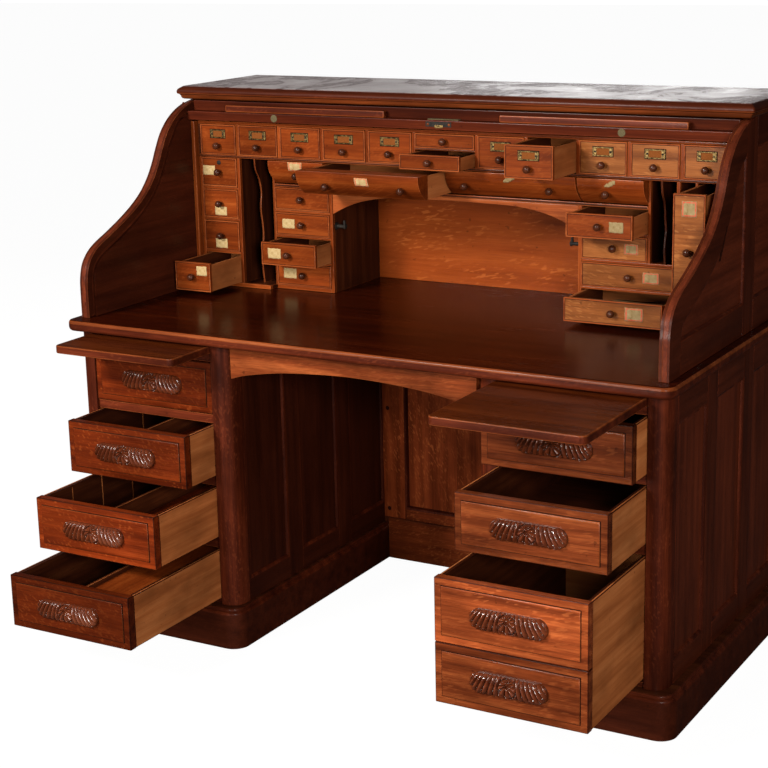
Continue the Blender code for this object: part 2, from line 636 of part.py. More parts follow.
def build():
    clear_scene()
    crown()
    upper_end("upper_end_left", -1)
    upper_end("upper_end_right", 1)
    back = boards("upper_back", [((-0.7227, 0.7227), (0.781, 0.795), (UPPER_BASE, UPPER_TOP))])
    finish(back, OAK_DARK, 0.5)
    writing_top()
    gallery_top_frame()
    gallery_left_case()
    gallery_right_case()
    for side, word in ((-1, "left"), (1, "right")):
        pedestal_side(f"pedestal_{word}_outer_side", side, True)
        pedestal_side(f"pedestal_{word}_inner_side", side, False)
        rails = RAIL_Z if side < 0 else [r for i, r in enumerate(RAIL_Z) if i != 1]
        pedestal_frame(f"pedestal_{word}_frame", side, rails)
        plinth(f"plinth_{word}", side)
    kneehole_back()
    kneehole_apron()
    tambour()
    writing_slide("writing_slide_left", -1, 0.1500)
    writing_slide("writing_slide_right", 1, 0.3160)
    large_drawers()
    small_drawers()
    for obj in bpy.context.scene.objects:
        obj.location.y += REST_SHIFT


build()
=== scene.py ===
"""Looks of the roll top desk: stained oak boards, carved pulls, turned knobs, brass card holders and paper labels.

Lengths are in metres and measured as in the CAD source: x from the middle of the desk, y from the
pedestal fronts, z from the floor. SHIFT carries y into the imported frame. Each colour is linear RGB.
"""

import math
import random

import bmesh
import bpy
import numpy as np
from mathutils import Matrix, Vector


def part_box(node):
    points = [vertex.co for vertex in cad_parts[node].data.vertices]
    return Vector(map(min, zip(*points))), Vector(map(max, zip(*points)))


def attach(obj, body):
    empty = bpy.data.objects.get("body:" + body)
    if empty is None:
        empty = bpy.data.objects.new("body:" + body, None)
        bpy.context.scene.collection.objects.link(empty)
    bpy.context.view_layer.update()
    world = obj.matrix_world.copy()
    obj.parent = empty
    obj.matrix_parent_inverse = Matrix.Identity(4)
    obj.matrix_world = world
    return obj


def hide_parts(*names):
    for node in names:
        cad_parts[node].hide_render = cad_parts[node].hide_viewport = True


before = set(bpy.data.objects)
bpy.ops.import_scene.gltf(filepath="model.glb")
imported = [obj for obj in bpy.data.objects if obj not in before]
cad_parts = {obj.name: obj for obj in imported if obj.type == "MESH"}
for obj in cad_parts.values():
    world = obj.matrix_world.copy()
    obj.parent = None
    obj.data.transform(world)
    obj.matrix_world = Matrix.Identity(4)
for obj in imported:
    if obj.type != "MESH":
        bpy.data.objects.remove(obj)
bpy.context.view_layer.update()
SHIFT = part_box("plinth_left")[1].y - 0.797
CASE = "desk_case"


# ---------------------------------------------------------------- camera, light, floor

YAW, PITCH, ROLL = -29.9455, -14.6339, -1.2723
EYE = (1.9643, -3.2406 + SHIFT, 1.6684)
LENS, LENS_SHIFT = 83.12, (-0.0013, 0.002)
WARM, WARM_FILL, WHITE = (1.0, 0.965, 0.92), (1.0, 0.97, 0.93), (1.0, 1.0, 1.0)
LAMPS = (  # name, place, aim, size, power, colour
    ("key", (-1.7, -3.9, 3.0), (0.0, 0.0, 0.75), 0.9, 270, WARM),
    ("low_front", (-0.7, -4.6, 1.25), (0.0, 0.3, 0.45), 0.9, 100, WARM),
    ("front_fill", (3.0, -3.7, 1.9), (0.1, 0.0, 0.6), 1.0, 165, WARM_FILL),
    ("back_fill", (-1.3, 4.6, 0.95), (0.0, 0.8, 0.6), 1.8, 110, WHITE),
    ("behind", (-1.6, 3.1, 2.1), (0.0, 0.4, 1.25), (2.6, 1.3), 12, WHITE),
)
FLOOR_HALF, FLOOR_DROP = 30, 0.0005


def link_object(name, data):
    obj = bpy.data.objects.new(name, data)
    bpy.context.scene.collection.objects.link(obj)
    return obj


def make_camera():
    yaw, pitch, roll = map(math.radians, (YAW, PITCH, ROLL))
    forward = Vector((math.sin(yaw) * math.cos(pitch), math.cos(yaw) * math.cos(pitch), math.sin(pitch)))
    right = Vector((math.cos(yaw), -math.sin(yaw), 0.0))
    up = right.cross(forward)
    c, s = math.cos(roll), math.sin(roll)
    right, up = c * right + s * up, c * up - s * right
    camera = link_object("camera", bpy.data.cameras.new("camera"))
    matrix = Matrix((right, up, -forward)).transposed().to_4x4()
    matrix.translation = EYE
    camera.matrix_world = matrix
    camera.data.sensor_width = 36.0
    camera.data.lens = LENS
    camera.data.shift_x, camera.data.shift_y = LENS_SHIFT
    camera.data.clip_end = 60.0
    bpy.context.scene.camera = camera


def area_light(name, place, aim, size, power, colour):
    """size is one length, or the two of a rectangle."""
    data = bpy.data.lights.new(name, "AREA")
    data.energy = power
    data.color = colour
    if isinstance(size, tuple):
        data.shape = "RECTANGLE"
        data.size, data.size_y = size
    else:
        data.size = size
    lamp = link_object(name, data)
    lamp.location = place
    lamp.rotation_mode = "QUATERNION"
    lamp.rotation_quaternion = (Vector(aim) - Vector(place)).to_track_quat("-Z", "Y")


def feed(tree, source, target):
    """Gives a socket a number, a colour or vector, or the output that drives it."""
    if isinstance(source, (int, float)):
        target.default_value = source
    elif isinstance(source, tuple):
        target.default_value = (*source, 1.0)[:len(target.default_value)]
    else:
        tree.links.new(source, target)


def make_node(tree, kind, inputs=None, **settings):
    node = tree.nodes.new("ShaderNode" + kind)
    for name, value in settings.items():
        setattr(node, name, value)
    for key, source in (inputs or {}).items():
        feed(tree, source, node.inputs[key])
    return node


def two_ways(tree, lit, seen):
    """A shader that looks like seen to the camera and acts like lit on all other light."""
    camera = make_node(tree, "LightPath").outputs["Is Camera Ray"]
    return make_node(tree, "MixShader", {0: camera, 1: lit, 2: seen}).outputs[0]


def make_studio():
    """A white studio: the floor and the world look white, and the light on the desk comes from five soft lamps."""
    scene = bpy.context.scene
    scene.view_settings.view_transform = "Standard"
    scene.world = bpy.data.worlds.new("studio")
    scene.world.use_nodes = True
    tree = scene.world.node_tree
    tree.nodes.clear()
    lit = make_node(tree, "Background", {"Color": (1.0, 0.985, 0.97), "Strength": 0.035}).outputs[0]
    seen = make_node(tree, "Background", {"Color": WHITE, "Strength": 1.1}).outputs[0]
    make_node(tree, "OutputWorld", {"Surface": two_ways(tree, lit, seen)})
    for lamp in LAMPS:
        area_light(*lamp)

    mesh = bpy.data.meshes.new("floor")
    corners = ((-1, -1), (1, -1), (1, 1), (-1, 1))
    mesh.from_pydata([(FLOOR_HALF * x, FLOOR_HALF * y, -FLOOR_DROP) for x, y in corners], [], [(0, 1, 2, 3)])
    material = bpy.data.materials.new("floor_pale")
    material.use_nodes = True
    tree = material.node_tree
    shader = tree.nodes["Principled BSDF"]
    for socket, value in (("Base Color", (0.06, 0.058, 0.056)), ("Roughness", 0.9), ("Specular IOR Level", 0.1)):
        feed(tree, value, shader.inputs[socket])
    glow = make_node(tree, "Emission", {"Strength": 0.97}).outputs[0]
    both = make_node(tree, "AddShader", {0: shader.outputs[0], 1: glow}).outputs[0]
    feed(tree, two_ways(tree, shader.outputs[0], both), tree.nodes["Material Output"].inputs["Surface"])
    mesh.materials.append(material)
    link_object("floor", mesh)


# ---------------------------------------------------------------- materials

class Nodes:
    """A short way to write a material. Pieces carry grain, a place in the wood, and shade, how light a board is."""

    def __init__(self, name):
        self.material = bpy.data.materials.new(name)
        self.material.use_nodes = True
        self.tree = self.material.node_tree
        self.shader = self.tree.nodes["Principled BSDF"]

    def attribute(self, name, output="Vector"):
        return make_node(self.tree, "Attribute", attribute_name=name).outputs[output]

    def place(self, source, stretch, turn=(0, 0, 0), move=(0, 0, 0)):
        inputs = {"Vector": source, "Scale": stretch, "Rotation": turn, "Location": move}
        return make_node(self.tree, "Mapping", inputs).outputs[0]

    def noise(self, source, stretch, detail, rough=0.55, warp=0.0, move=(0, 0, 0), output="Fac"):
        inputs = {"Vector": self.place(source, stretch, move=move), "Scale": 1.0, "Detail": detail,
                  "Roughness": rough, "Distortion": warp}
        return make_node(self.tree, "TexNoise", inputs).outputs[output]

    def ramp(self, source, *stops):
        node = make_node(self.tree, "ValToRGB", {0: source})
        elements = node.color_ramp.elements
        while len(elements) < len(stops):
            elements.new(0.5)
        for element, (at, value) in zip(elements, stops):
            element.position = at
            element.color = (value, value, value, 1) if isinstance(value, (int, float)) else (*value, 1)
        return node.outputs[0]

    def math(self, kind, a, b=0.0):
        return make_node(self.tree, "Math", {0: a, 1: b}, operation=kind).outputs[0]

    def times(self, a, b):
        return self.math("MULTIPLY", a, b)

    def plus(self, a, b):
        return self.math("ADD", a, b)

    def mix(self, amount, a, b):
        return make_node(self.tree, "Mix", {0: amount, 6: a, 7: b}, data_type="RGBA").outputs[2]

    def bent(self, grain, stretch, reach):
        """The grain pushed about by a broad noise."""
        drift = self.noise(grain, stretch, 2.0, output="Color")
        push = make_node(self.tree, "VectorMath", {0: drift, 1: (reach,) * 3}, operation="MULTIPLY").outputs[0]
        return make_node(self.tree, "VectorMath", {0: grain, 1: push}, operation="ADD").outputs[0]

    def bump(self, height, strength, distance):
        node = make_node(self.tree, "Bump", {"Strength": strength, "Distance": distance, "Height": height})
        feed(self.tree, node.outputs[0], self.shader.inputs["Normal"])

    def finish(self, colour, rough, **constants):
        feed(self.tree, colour, self.shader.inputs["Base Color"])
        feed(self.tree, rough, self.shader.inputs["Roughness"])
        for name, value in constants.items():
            self.shader.inputs[name.replace("_", " ")].default_value = value
        return self.material


def darker(colour, share):
    return tuple(c * share for c in colour)


def oak(name, dark, mid, light, rough, coat, stain, fleck=None, amount=0.0, lean=0.35, ray=(13, 230, 230), fine=0.5,
        gloss=0.07):
    """Oak with fibres along the grain, broad bands, quartersawn flecks that lean across it, and stains.

    fine is the depth of the fibres, amount that of the flecks, and ray how the flecks are stretched.
    """
    n = Nodes(name)
    grain = n.attribute("grain")
    bent = n.bent(grain, (2.5, 9, 9), 0.012)
    band = n.noise(bent, (2.0, 46, 46), 4.0, 0.6)
    fibre = n.noise(bent, (16, 520, 520), 5.0, 0.65)
    cloud = n.noise(grain, (3.2, 6.5, 6.5), 4.0, 0.6, move=(3.1, 1.7, 0.4))
    colour = n.ramp(band, (0.3, dark), (0.5, mid), (0.72, light))
    colour = n.mix(n.times(n.ramp(fibre, (0.36, 1.0), (0.6, 0.0)), fine), colour, dark)
    if fleck:
        turned = n.place(n.bent(grain, (7, 22, 22), 0.007), (1, 1, 1), (0, lean, lean))
        line = n.ramp(n.noise(turned, ray, 1.5, 0.45, 0.12), (0.57, 0.0), (0.64, 1.0))
        where = n.ramp(n.noise(grain, (7, 15, 15), 2.0, move=(7.7, 2.2, 5.1)), (0.4, 0.0), (0.56, 1.0))
        colour = n.mix(n.times(n.times(line, where), amount), colour, fleck)
    colour = n.mix(n.times(n.ramp(cloud, (0.36, 1.0), (0.58, 0.0)), stain), colour, darker(dark, 0.42))
    value = n.plus(n.times(n.attribute("shade", "Fac"), 0.16), 1.0)
    colour = make_node(n.tree, "HueSaturation", {"Color": colour, "Value": value}).outputs[0]
    spots = n.ramp(n.noise(grain, (60, 75, 75), 2.0), (0.7, 0.0), (0.76, 1.0))
    colour = n.mix(n.times(spots, 0.5), colour, darker(dark, 0.3))
    roughness = n.plus(n.plus(n.times(cloud, 0.22), n.times(fibre, 0.12)), rough - 0.17)
    n.bump(n.plus(n.times(fibre, 0.8), n.times(band, 0.5)), 0.32, 0.0006)
    return n.finish(colour, roughness, Coat_Weight=coat * 0.3, Coat_Roughness=0.16, Specular_IOR_Level=gloss)


def worn_top():
    """The crown's upper side: the finish has gone grey and dull, with dark water marks and streaks."""
    n = Nodes("crown_weathered_oak")
    grain = n.attribute("grain")
    band = n.noise(grain, (2.6, 40, 40), 5.0, 0.65)
    blot = n.noise(grain, (5.5, 3.4, 9), 8.0, 0.62, 1.2)
    broken = n.ramp(n.noise(grain, (26, 15, 40), 6.0, 0.7, 1.0), (0.4, 0.0), (0.5, 1.0))
    fibre = n.noise(grain, (18, 420, 420), 4.0, 0.6)
    grey = n.ramp(band, (0.32, (0.27, 0.205, 0.2)), (0.5, (0.345, 0.275, 0.27)), (0.68, (0.43, 0.355, 0.355)))
    rings = n.ramp(n.math("ABSOLUTE", n.math("SUBTRACT", blot, 0.53)), (0.0, 1.0), (0.016, 0.9), (0.04, 0.0))
    pools = n.ramp(blot, (0.545, 0.0), (0.57, 0.8), (0.7, 0.95))
    colour = n.mix(n.times(n.math("MAXIMUM", rings, pools), broken), grey, (0.11, 0.062, 0.06))
    colour = n.mix(n.times(n.ramp(fibre, (0.38, 0.6), (0.58, 0.0)), 0.6), colour, (0.09, 0.06, 0.055))
    n.bump(n.plus(fibre, blot), 0.25, 0.0006)
    return n.finish(colour, n.ramp(blot, (0.35, 0.34), (0.65, 0.55)), Specular_IOR_Level=0.1)


def paper(name, old):
    """Aged gummed paper. grain holds the place on the label, from 0 to 1, and 1 in z where it has a red rim."""
    n = Nodes(name)
    place = n.attribute("grain")
    across, up, red = make_node(n.tree, "SeparateXYZ", {0: place}).outputs
    blot = n.noise(place, (3.5, 3.0, 1.0), 5.0, 0.7)
    tones = ((0.3, (0.24, 0.125, 0.04)), (0.42, (0.44, 0.3, 0.13)), (0.66, (0.56, 0.415, 0.21)))
    colour = n.ramp(blot, *((at, darker(tone, old)) for at, tone in tones))
    edge = n.math("MAXIMUM", *(n.math("ABSOLUTE", n.math("SUBTRACT", way, 0.5)) for way in (across, up)))
    rim = n.times(n.ramp(edge, (0.36, 0.0), (0.39, 1.0), (0.45, 1.0), (0.48, 0.0)), n.math("GREATER_THAN", red, 0.5))
    rim = n.times(rim, n.ramp(n.noise(place, (9, 9, 1), 3.0), (0.36, 0.15), (0.52, 0.85)))
    colour = n.mix(rim, colour, (0.5, 0.06, 0.03))
    n.bump(blot, 0.3, 0.0005)
    return n.finish(colour, 0.75, Specular_IOR_Level=0.1)


def metal(name, bright, tarnish, rough, metallic=1.0, gloss=0.5):
    n = Nodes(name)
    wear = n.noise(n.attribute("grain"), (160, 160, 160), 4.0, 0.65)
    n.bump(wear, 0.35, 0.0004)
    colour = n.ramp(wear, (0.38, tarnish), (0.62, bright))
    return n.finish(colour, n.plus(n.times(wear, 0.3), rough), Metallic=metallic, Specular_IOR_Level=gloss)


def plain_fabric(name, dark, light):
    n = Nodes(name)
    weave = n.noise(n.attribute("grain"), (900, 900, 900), 3.0)
    n.bump(weave, 0.6, 0.0005)
    return n.finish(n.ramp(weave, (0.35, dark), (0.65, light)), 0.9, Specular_IOR_Level=0.1)


M = {
    "case": oak("case_oak", (0.034, 0.0062, 0.0024), (0.061, 0.0113, 0.0042), (0.088, 0.0168, 0.0062),
        0.42, 0.2, 0.4, (0.11, 0.023, 0.008), 0.2),
    "case_red": oak("case_oak_red", (0.03, 0.0046, 0.0018), (0.08, 0.013, 0.0044), (0.145, 0.025, 0.0078),
        0.4, 0.3, 0.6, (0.19, 0.04, 0.013), 0.3),
    # Lighter worn edges; on the crown's beads its bands paint the highlights along the mouldings.
    "edge_red": oak("case_edge_worn_and_highlight", (0.085, 0.0165, 0.0045), (0.185, 0.042, 0.0105), (0.3, 0.078, 0.021),
        0.32, 0.22, 0.45, gloss=0.05),
    "edge_dark": oak("front_edge_worn", (0.018, 0.0036, 0.0015), (0.062, 0.011, 0.0034), (0.135, 0.026, 0.007),
        0.4, 0.2, 0.45),
    "rail": oak("lift_rail_oak", (0.028, 0.0044, 0.0018), (0.062, 0.0098, 0.003), (0.105, 0.018, 0.0052),
        0.55, 0.0, 0.4, gloss=0.02),
    "top": oak("writing_top_oak", (0.016, 0.0019, 0.0005), (0.036, 0.004, 0.0007), (0.062, 0.0085, 0.0013),
        0.24, 0.6, 0.35, (0.085, 0.014, 0.003), 0.2, gloss=0.04),
    "slide": oak("slide_oak", (0.036, 0.006, 0.0015), (0.086, 0.0155, 0.0028), (0.132, 0.027, 0.0052),
        0.28, 0.4, 0.4, (0.16, 0.035, 0.01), 0.2, gloss=0.04),
    "front": oak("drawer_front_oak", (0.066, 0.0082, 0.0018), (0.18, 0.0235, 0.0036), (0.285, 0.043, 0.0072),
        0.29, 0.5, 0.5, (0.36, 0.07, 0.013), 0.45, -0.5, ray=(5, 190, 190)),
    "front_brown": oak("drawer_front_oak_brown", (0.062, 0.011, 0.003), (0.195, 0.0385, 0.0095), (0.365, 0.09, 0.0235),
        0.29, 0.5, 0.6, (0.42, 0.11, 0.029), 0.24, 0.2, ray=(7, 200, 200)),
    # Near black: dirt together with painted shade in grooves, joints and cracks.
    "front_line": oak("drawer_groove_oak", (0.01, 0.0022, 0.001), (0.022, 0.0045, 0.0018), (0.04, 0.0085, 0.003),
        0.5, 0.1, 0.3),
    "side": oak("drawer_side_oak", (0.29, 0.08, 0.021), (0.44, 0.137, 0.039), (0.56, 0.2, 0.064),
        0.5, 0.05, 0.65, fine=0.35, gloss=0.05),
    # Dark oak for backs and hidden faces; inside the drawer boxes, the plinths and the pedestals its darkness is
    # painted shade.
    "inside": oak("drawer_inside_oak", (0.03, 0.0065, 0.0024), (0.075, 0.0165, 0.0052), (0.125, 0.032, 0.01),
        0.5, 0.08, 0.5),
    "gallery": oak("gallery_oak", (0.085, 0.013, 0.0024), (0.195, 0.034, 0.005), (0.275, 0.059, 0.01),
        0.32, 0.4, 0.4, (0.34, 0.082, 0.016), 0.22, ray=(9, 220, 220), gloss=0.05),
    "gallery_gold": oak("gallery_oak_golden", (0.12, 0.032, 0.007), (0.25, 0.076, 0.0175), (0.345, 0.115, 0.03),
        0.34, 0.36, 0.42, (0.46, 0.18, 0.052), 0.3, -0.2, gloss=0.05),
    # The gallery's inner faces: oak darkened to paint the shade inside the slots and cells.
    "gallery_in": oak("gallery_inside_shaded_oak", (0.022, 0.0048, 0.0018), (0.052, 0.011, 0.0036), (0.085, 0.02, 0.0062),
        0.45, 0.15, 0.4),
    "gallery_edge": oak("gallery_edge_oak", (0.13, 0.024, 0.0055), (0.27, 0.06, 0.0135), (0.38, 0.1, 0.025),
        0.36, 0.3, 0.25),
    "recess": oak("recess_quartersawn_oak", (0.15, 0.025, 0.004), (0.225, 0.041, 0.0063), (0.27, 0.055, 0.0088),
        0.34, 0.3, 0.15, (0.38, 0.098, 0.019), 0.55, 0.22, ray=(9, 170, 170), gloss=0.05),
    "kneehole": oak("kneehole_quartersawn_oak", (0.085, 0.014, 0.0036), (0.215, 0.0375, 0.0094), (0.32, 0.062, 0.015),
        0.34, 0.3, 0.55, (0.42, 0.105, 0.027), 0.55),
    "crown": oak("crown_oak_red", (0.055, 0.011, 0.0026), (0.14, 0.029, 0.0062), (0.225, 0.052, 0.0115),
        0.28, 0.5, 0.55, gloss=0.05),
    "knob": oak("turned_knob_walnut", (0.026, 0.007, 0.0032), (0.062, 0.0165, 0.0072), (0.095, 0.028, 0.012),
        0.26, 0.6, 0.3),
    "pull": oak("carved_pull_walnut", (0.045, 0.0088, 0.003), (0.125, 0.0265, 0.0086), (0.175, 0.043, 0.015),
        0.24, 2.4, 0.25, gloss=0.5),
    "paper": paper("label_paper", 0.85),
    "paper_old": paper("label_paper_old", 0.5),
    "brass": metal("brass_tarnished", (0.25, 0.165, 0.06), (0.045, 0.03, 0.014), 0.28),
    "card": plain_fabric("card_orange", (0.12, 0.033, 0.006), (0.2, 0.06, 0.012)),
    "iron": metal("iron_dark", (0.022, 0.017, 0.013), (0.007, 0.0055, 0.0045), 0.5, 0.0, 0.15),
    "felt": plain_fabric("felt_olive", (0.06, 0.046, 0.022), (0.125, 0.098, 0.05)),
    "canvas": plain_fabric("tambour_canvas", (0.12, 0.085, 0.05), (0.22, 0.16, 0.1)),
    "crown_top": worn_top(),
}


# ---------------------------------------------------------------- geometry

def smooth(points, steps=3):
    """A Catmull-Rom curve through 2-D points."""
    ends = [points[0], *points, points[-1]]
    curve = []
    for i in range(1, len(ends) - 2):
        a, b, c, d = (Vector(p) for p in ends[i - 1:i + 3])
        for k in range(steps):
            t = k / steps
            p = 0.5 * (2 * b + (c - a) * t + (2 * a - 5 * b + 4 * c - d) * t * t + (3 * b - a - 3 * c + d) * t ** 3)
            curve.append((p.x, p.y))
    return curve + [tuple(points[-1])]


def inset_path(points, distance):
    """The path moved sideways, to the right of its direction of travel."""
    moved = []
    for i, point in enumerate(points):
        along = (Vector(points[min(i + 1, len(points) - 1)]) - Vector(points[max(i - 1, 0)])).normalized()
        moved.append((point[0] + along.y * distance, point[1] - along.x * distance))
    return moved


def inset_loop(points, distance):
    """A closed outline moved inward by mitring; it works for either direction of travel."""
    count = len(points)
    area = sum(p[0] * q[1] - q[0] * p[1] for p, q in zip(points, [*points[1:], points[0]]))
    sign = 1.0 if area > 0 else -1.0
    out = []
    for i in range(count):
        p, q, r = (Vector(points[(i + k) % count]) for k in (-1, 0, 1))
        a, b = (q - p).normalized(), (r - q).normalized()
        across = Vector((-a.y, a.x))
        bisector = across + Vector((-b.y, b.x))
        bisector = bisector.normalized() if bisector.length > 1e-6 else across
        mitre = min(1.0 / max(bisector.dot(across), 0.35), 2.2)
        q = q + bisector * distance * sign * mitre
        out.append((q.x, q.y))
    return out


def rectangle(a0, a1, b0, b1):
    return [(a0, b0), (a1, b0), (a1, b1), (a0, b1)]


def mirrored(half):
    """The left half of a curve, up to its middle point, and its mirror image."""
    return half + [(-x, z) for x, z in reversed(half[:-1])]


def lifted(along, outline, t):
    """A flat outline placed at t along an axis."""
    return [{"x": (t, a, b), "y": (a, t, b), "z": (a, b, t)}[along] for a, b in outline]


def rounded_front(low, high, front, back, radius, inset, steps=9):
    """A plan outline with round front corners."""
    x0, x1, y0 = low + inset, high - inset, front + inset
    r = max(radius - inset, 0.0005)
    turn = [math.radians(90 * i / steps) for i in range(steps + 1)]
    left = [(x0 + r - r * math.sin(a), y0 + r - r * math.cos(a)) for a in reversed(turn)]
    right = [(x1 - r + r * math.sin(a), y0 + r - r * math.cos(a)) for a in turn]
    return left + right + [(x1, back), (x0, back)]


AXES = {"x": 0, "y": 1, "z": 2}
SHARP_ANGLE = math.radians(34)


class Piece:
    """Boards, sweeps and turned shapes gathered into one mesh. Each has its own place in the grain and its own shade.

    The piece is built at the end of its with block. sheet is the thickness and offset given to single faces.
    """

    def __init__(self, name, body, *nodes, slot=None, sheet=None):
        self.name, self.body, self.nodes, self.slot, self.sheet = name, body, nodes, slot, sheet
        self.random = random.Random(name)
        self.points, self.faces, self.face_materials, self.grain, self.shade = [], [], [], [], []
        self.materials = []

    def __enter__(self):
        return self

    def __exit__(self, failure, *_):
        if not failure:
            self.build()

    def index(self, key):
        if key not in self.materials:
            self.materials.append(key)
        return self.materials.index(key)

    def add(self, points, faces, keys, axis="x", shade=None, grain=None):
        """Points, faces and a material key for each face. axis is the grain's direction."""
        base = len(self.points)
        if shade is None:
            shade = self.random.uniform(-1, 1)
        first = AXES[axis]
        move = [self.random.uniform(0, 40) for _ in range(3)]
        self.points += points
        self.grain += grain or [tuple(p[(first + k) % 3] + move[k] for k in range(3)) for p in points]
        self.shade += shade if isinstance(shade, list) else [shade] * len(points)
        self.faces += [[base + v for v in face] for face in faces]
        self.face_materials += [self.index(key) for key in keys]

    def solid(self, points, faces, keys, edge=None, round_edge=0.0, axis="x", shade=None, sharp=20):
        """A closed shape, with its edges over sharp degrees rounded; edge is the material of the rounding."""
        palette = [*dict.fromkeys(keys), edge or keys[0]]
        work = bmesh.new()
        verts = [work.verts.new(p) for p in points]
        for face, key in zip(faces, keys):
            work.faces.new([verts[v] for v in face]).material_index = palette.index(key)
        bmesh.ops.recalc_face_normals(work, faces=work.faces[:])
        if round_edge > 0:
            limit = math.radians(sharp)
            edges = [e for e in work.edges if len(e.link_faces) == 2 and e.calc_face_angle(0) > limit]
            bmesh.ops.bevel(work, geom=edges, offset=round_edge, offset_type="OFFSET", segments=2, profile=0.5,
                            affect="EDGES", clamp_overlap=True, material=len(palette) - 1)
        work.verts.index_update()
        self.add([tuple(v.co) for v in work.verts], [[v.index for v in f.verts] for f in work.faces],
                 [palette[f.material_index] for f in work.faces], axis, shade)
        work.free()

    def board(self, x, y, z, key, axis=None, edge=None, round_edge=0.0012, shade=None):
        """An axis-aligned board. Its grain runs along its longest side unless axis says otherwise."""
        x, y, z = sorted(x), sorted(y), sorted(z)
        spans = {"x": x[1] - x[0], "y": y[1] - y[0], "z": z[1] - z[0]}
        axis = axis or max(spans, key=spans.get)
        points = [(a, b, c) for a in x for b in y for c in z]
        faces = [(0, 1, 3, 2), (4, 6, 7, 5), (0, 4, 5, 1), (2, 3, 7, 6), (0, 2, 6, 4), (1, 5, 7, 3)]
        self.solid(points, faces, [key] * 6, edge, min(round_edge, 0.45 * min(spans.values())), axis, shade)

    def prism(self, outline, along, low, high, key, axis="x", edge=None, round_edge=0.0012, shade=None, sharp=20):
        """A flat outline carried along an axis."""
        count = len(outline)
        faces = [range(count), range(count, 2 * count)]
        faces += [[i, (i + 1) % count, count + (i + 1) % count, count + i] for i in range(count)]
        points = lifted(along, outline, low) + lifted(along, outline, high)
        self.solid(points, faces, [key] * len(faces), edge, round_edge, axis, shade, sharp)

    def loft(self, loops, keys, axis="x", shade=None, ends="capped", cap_keys=None):
        """Closed loops of equal length, in order; keys is one key or one for each band.

        The ends are capped or open, or joined to each other.
        """
        count, levels = len(loops[0]), len(loops)
        bands = levels if ends == "joined" else levels - 1
        if isinstance(keys, str):
            keys = [keys] * bands
        faces, face_keys = [], []
        for level in range(bands):
            base, following = level * count, (level + 1) % levels * count
            for i in range(count):
                j = (i + 1) % count
                faces.append([base + i, base + j, following + j, following + i])
            face_keys += [keys[level]] * count
        if ends == "capped":
            faces += [range(count), range((levels - 1) * count, levels * count)]
            face_keys += cap_keys or (keys[0], keys[-1])
        self.solid([p for loop in loops for p in loop], faces, face_keys, axis=axis, shade=shade)

    def bead(self, outline, along, level, profile, key, axis="x", shade=None):
        """A moulding round a flat outline: profile is (distance inward, distance outward along the axis) pairs."""
        loops = [lifted(along, inset_loop(outline, inward), level + out) for inward, out in profile]
        self.loft(loops, key, axis, shade, ends="joined")

    def turned(self, centre, profile, key, segments=24, direction=(0, -1, 0), axis="y"):
        """A turned shape: profile is (radius, distance along direction)."""
        d, c = Vector(direction), Vector(centre)
        side = Vector((1, 0, 0)) if abs(d.x) < 0.5 else Vector((0, 0, 1))
        other = d.cross(side)
        turn = [2 * math.pi * (i + 0.5) / segments for i in range(segments)]
        loops = [[tuple(c + d * out + side * (r * math.cos(a)) + other * (r * math.sin(a))) for a in turn]
                 for r, out in profile]
        self.loft(loops, key, axis)

    def build(self):
        mesh = bpy.data.meshes.new(self.name)
        shift = Vector((0.0, SHIFT, 0.0))
        mesh.from_pydata([tuple(Vector(p) + shift) for p in self.points], [], self.faces)
        for key in self.materials:
            mesh.materials.append(M[key])
        mesh.polygons.foreach_set("material_index", self.face_materials)
        grain = mesh.attributes.new("grain", "FLOAT_VECTOR", "POINT")
        grain.data.foreach_set("vector", [v for g in self.grain for v in g])
        shade = mesh.attributes.new("shade", "FLOAT", "POINT")
        shade.data.foreach_set("value", self.shade)
        mesh.shade_smooth()
        mesh.set_sharp_from_angle(angle=SHARP_ANGLE)
        mesh.update()
        obj = link_object(self.name, mesh)
        obj.modifiers.new("flat_faces", "WEIGHTED_NORMAL").keep_sharp = True
        if self.sheet:
            thickness = obj.modifiers.new("thickness", "SOLIDIFY")
            thickness.thickness, thickness.offset = self.sheet
        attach(obj, self.body)
        if self.nodes:
            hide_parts(*self.nodes)


# ---------------------------------------------------------------- the case

TOP_HALF, TOP_UNDER, TOP_UPPER, CASE_BACK = 0.768, 0.7393, 0.765, 0.797
POST_OUTER, POST_INNER, BAY_INNER, BAY_OUTER, SIDE_THICK, POST_ROUND = 0.752, 0.317, 0.366, 0.706, 0.024, 0.034
PLINTH_TOP, PEDESTAL_BASE, PEDESTAL_TOP = 0.1, 0.1005, 0.7388
END_IN, END_OUT, UPPER_BASE, UPPER_TOP = 0.723, 0.7455, 0.7655, 1.2437
ROW_FRONT, STACK_FRONT, CASE_SET, GALLERY_BACK = 0.473, 0.5, 0.003, 0.735
GALLERY_HALF, GALLERY_TOP, FLOOR = 0.712, 1.19, 0.776
RUN_Z, BEND_Y, BEND_R = 1.2055, 0.725, 0.04
SHELF, ROW_TOP, CASE_TOP, COVE_SHELF = (1.098, 1.1045), 1.1825, 1.0977, (1.027, 1.035)
EASE = 0.0008

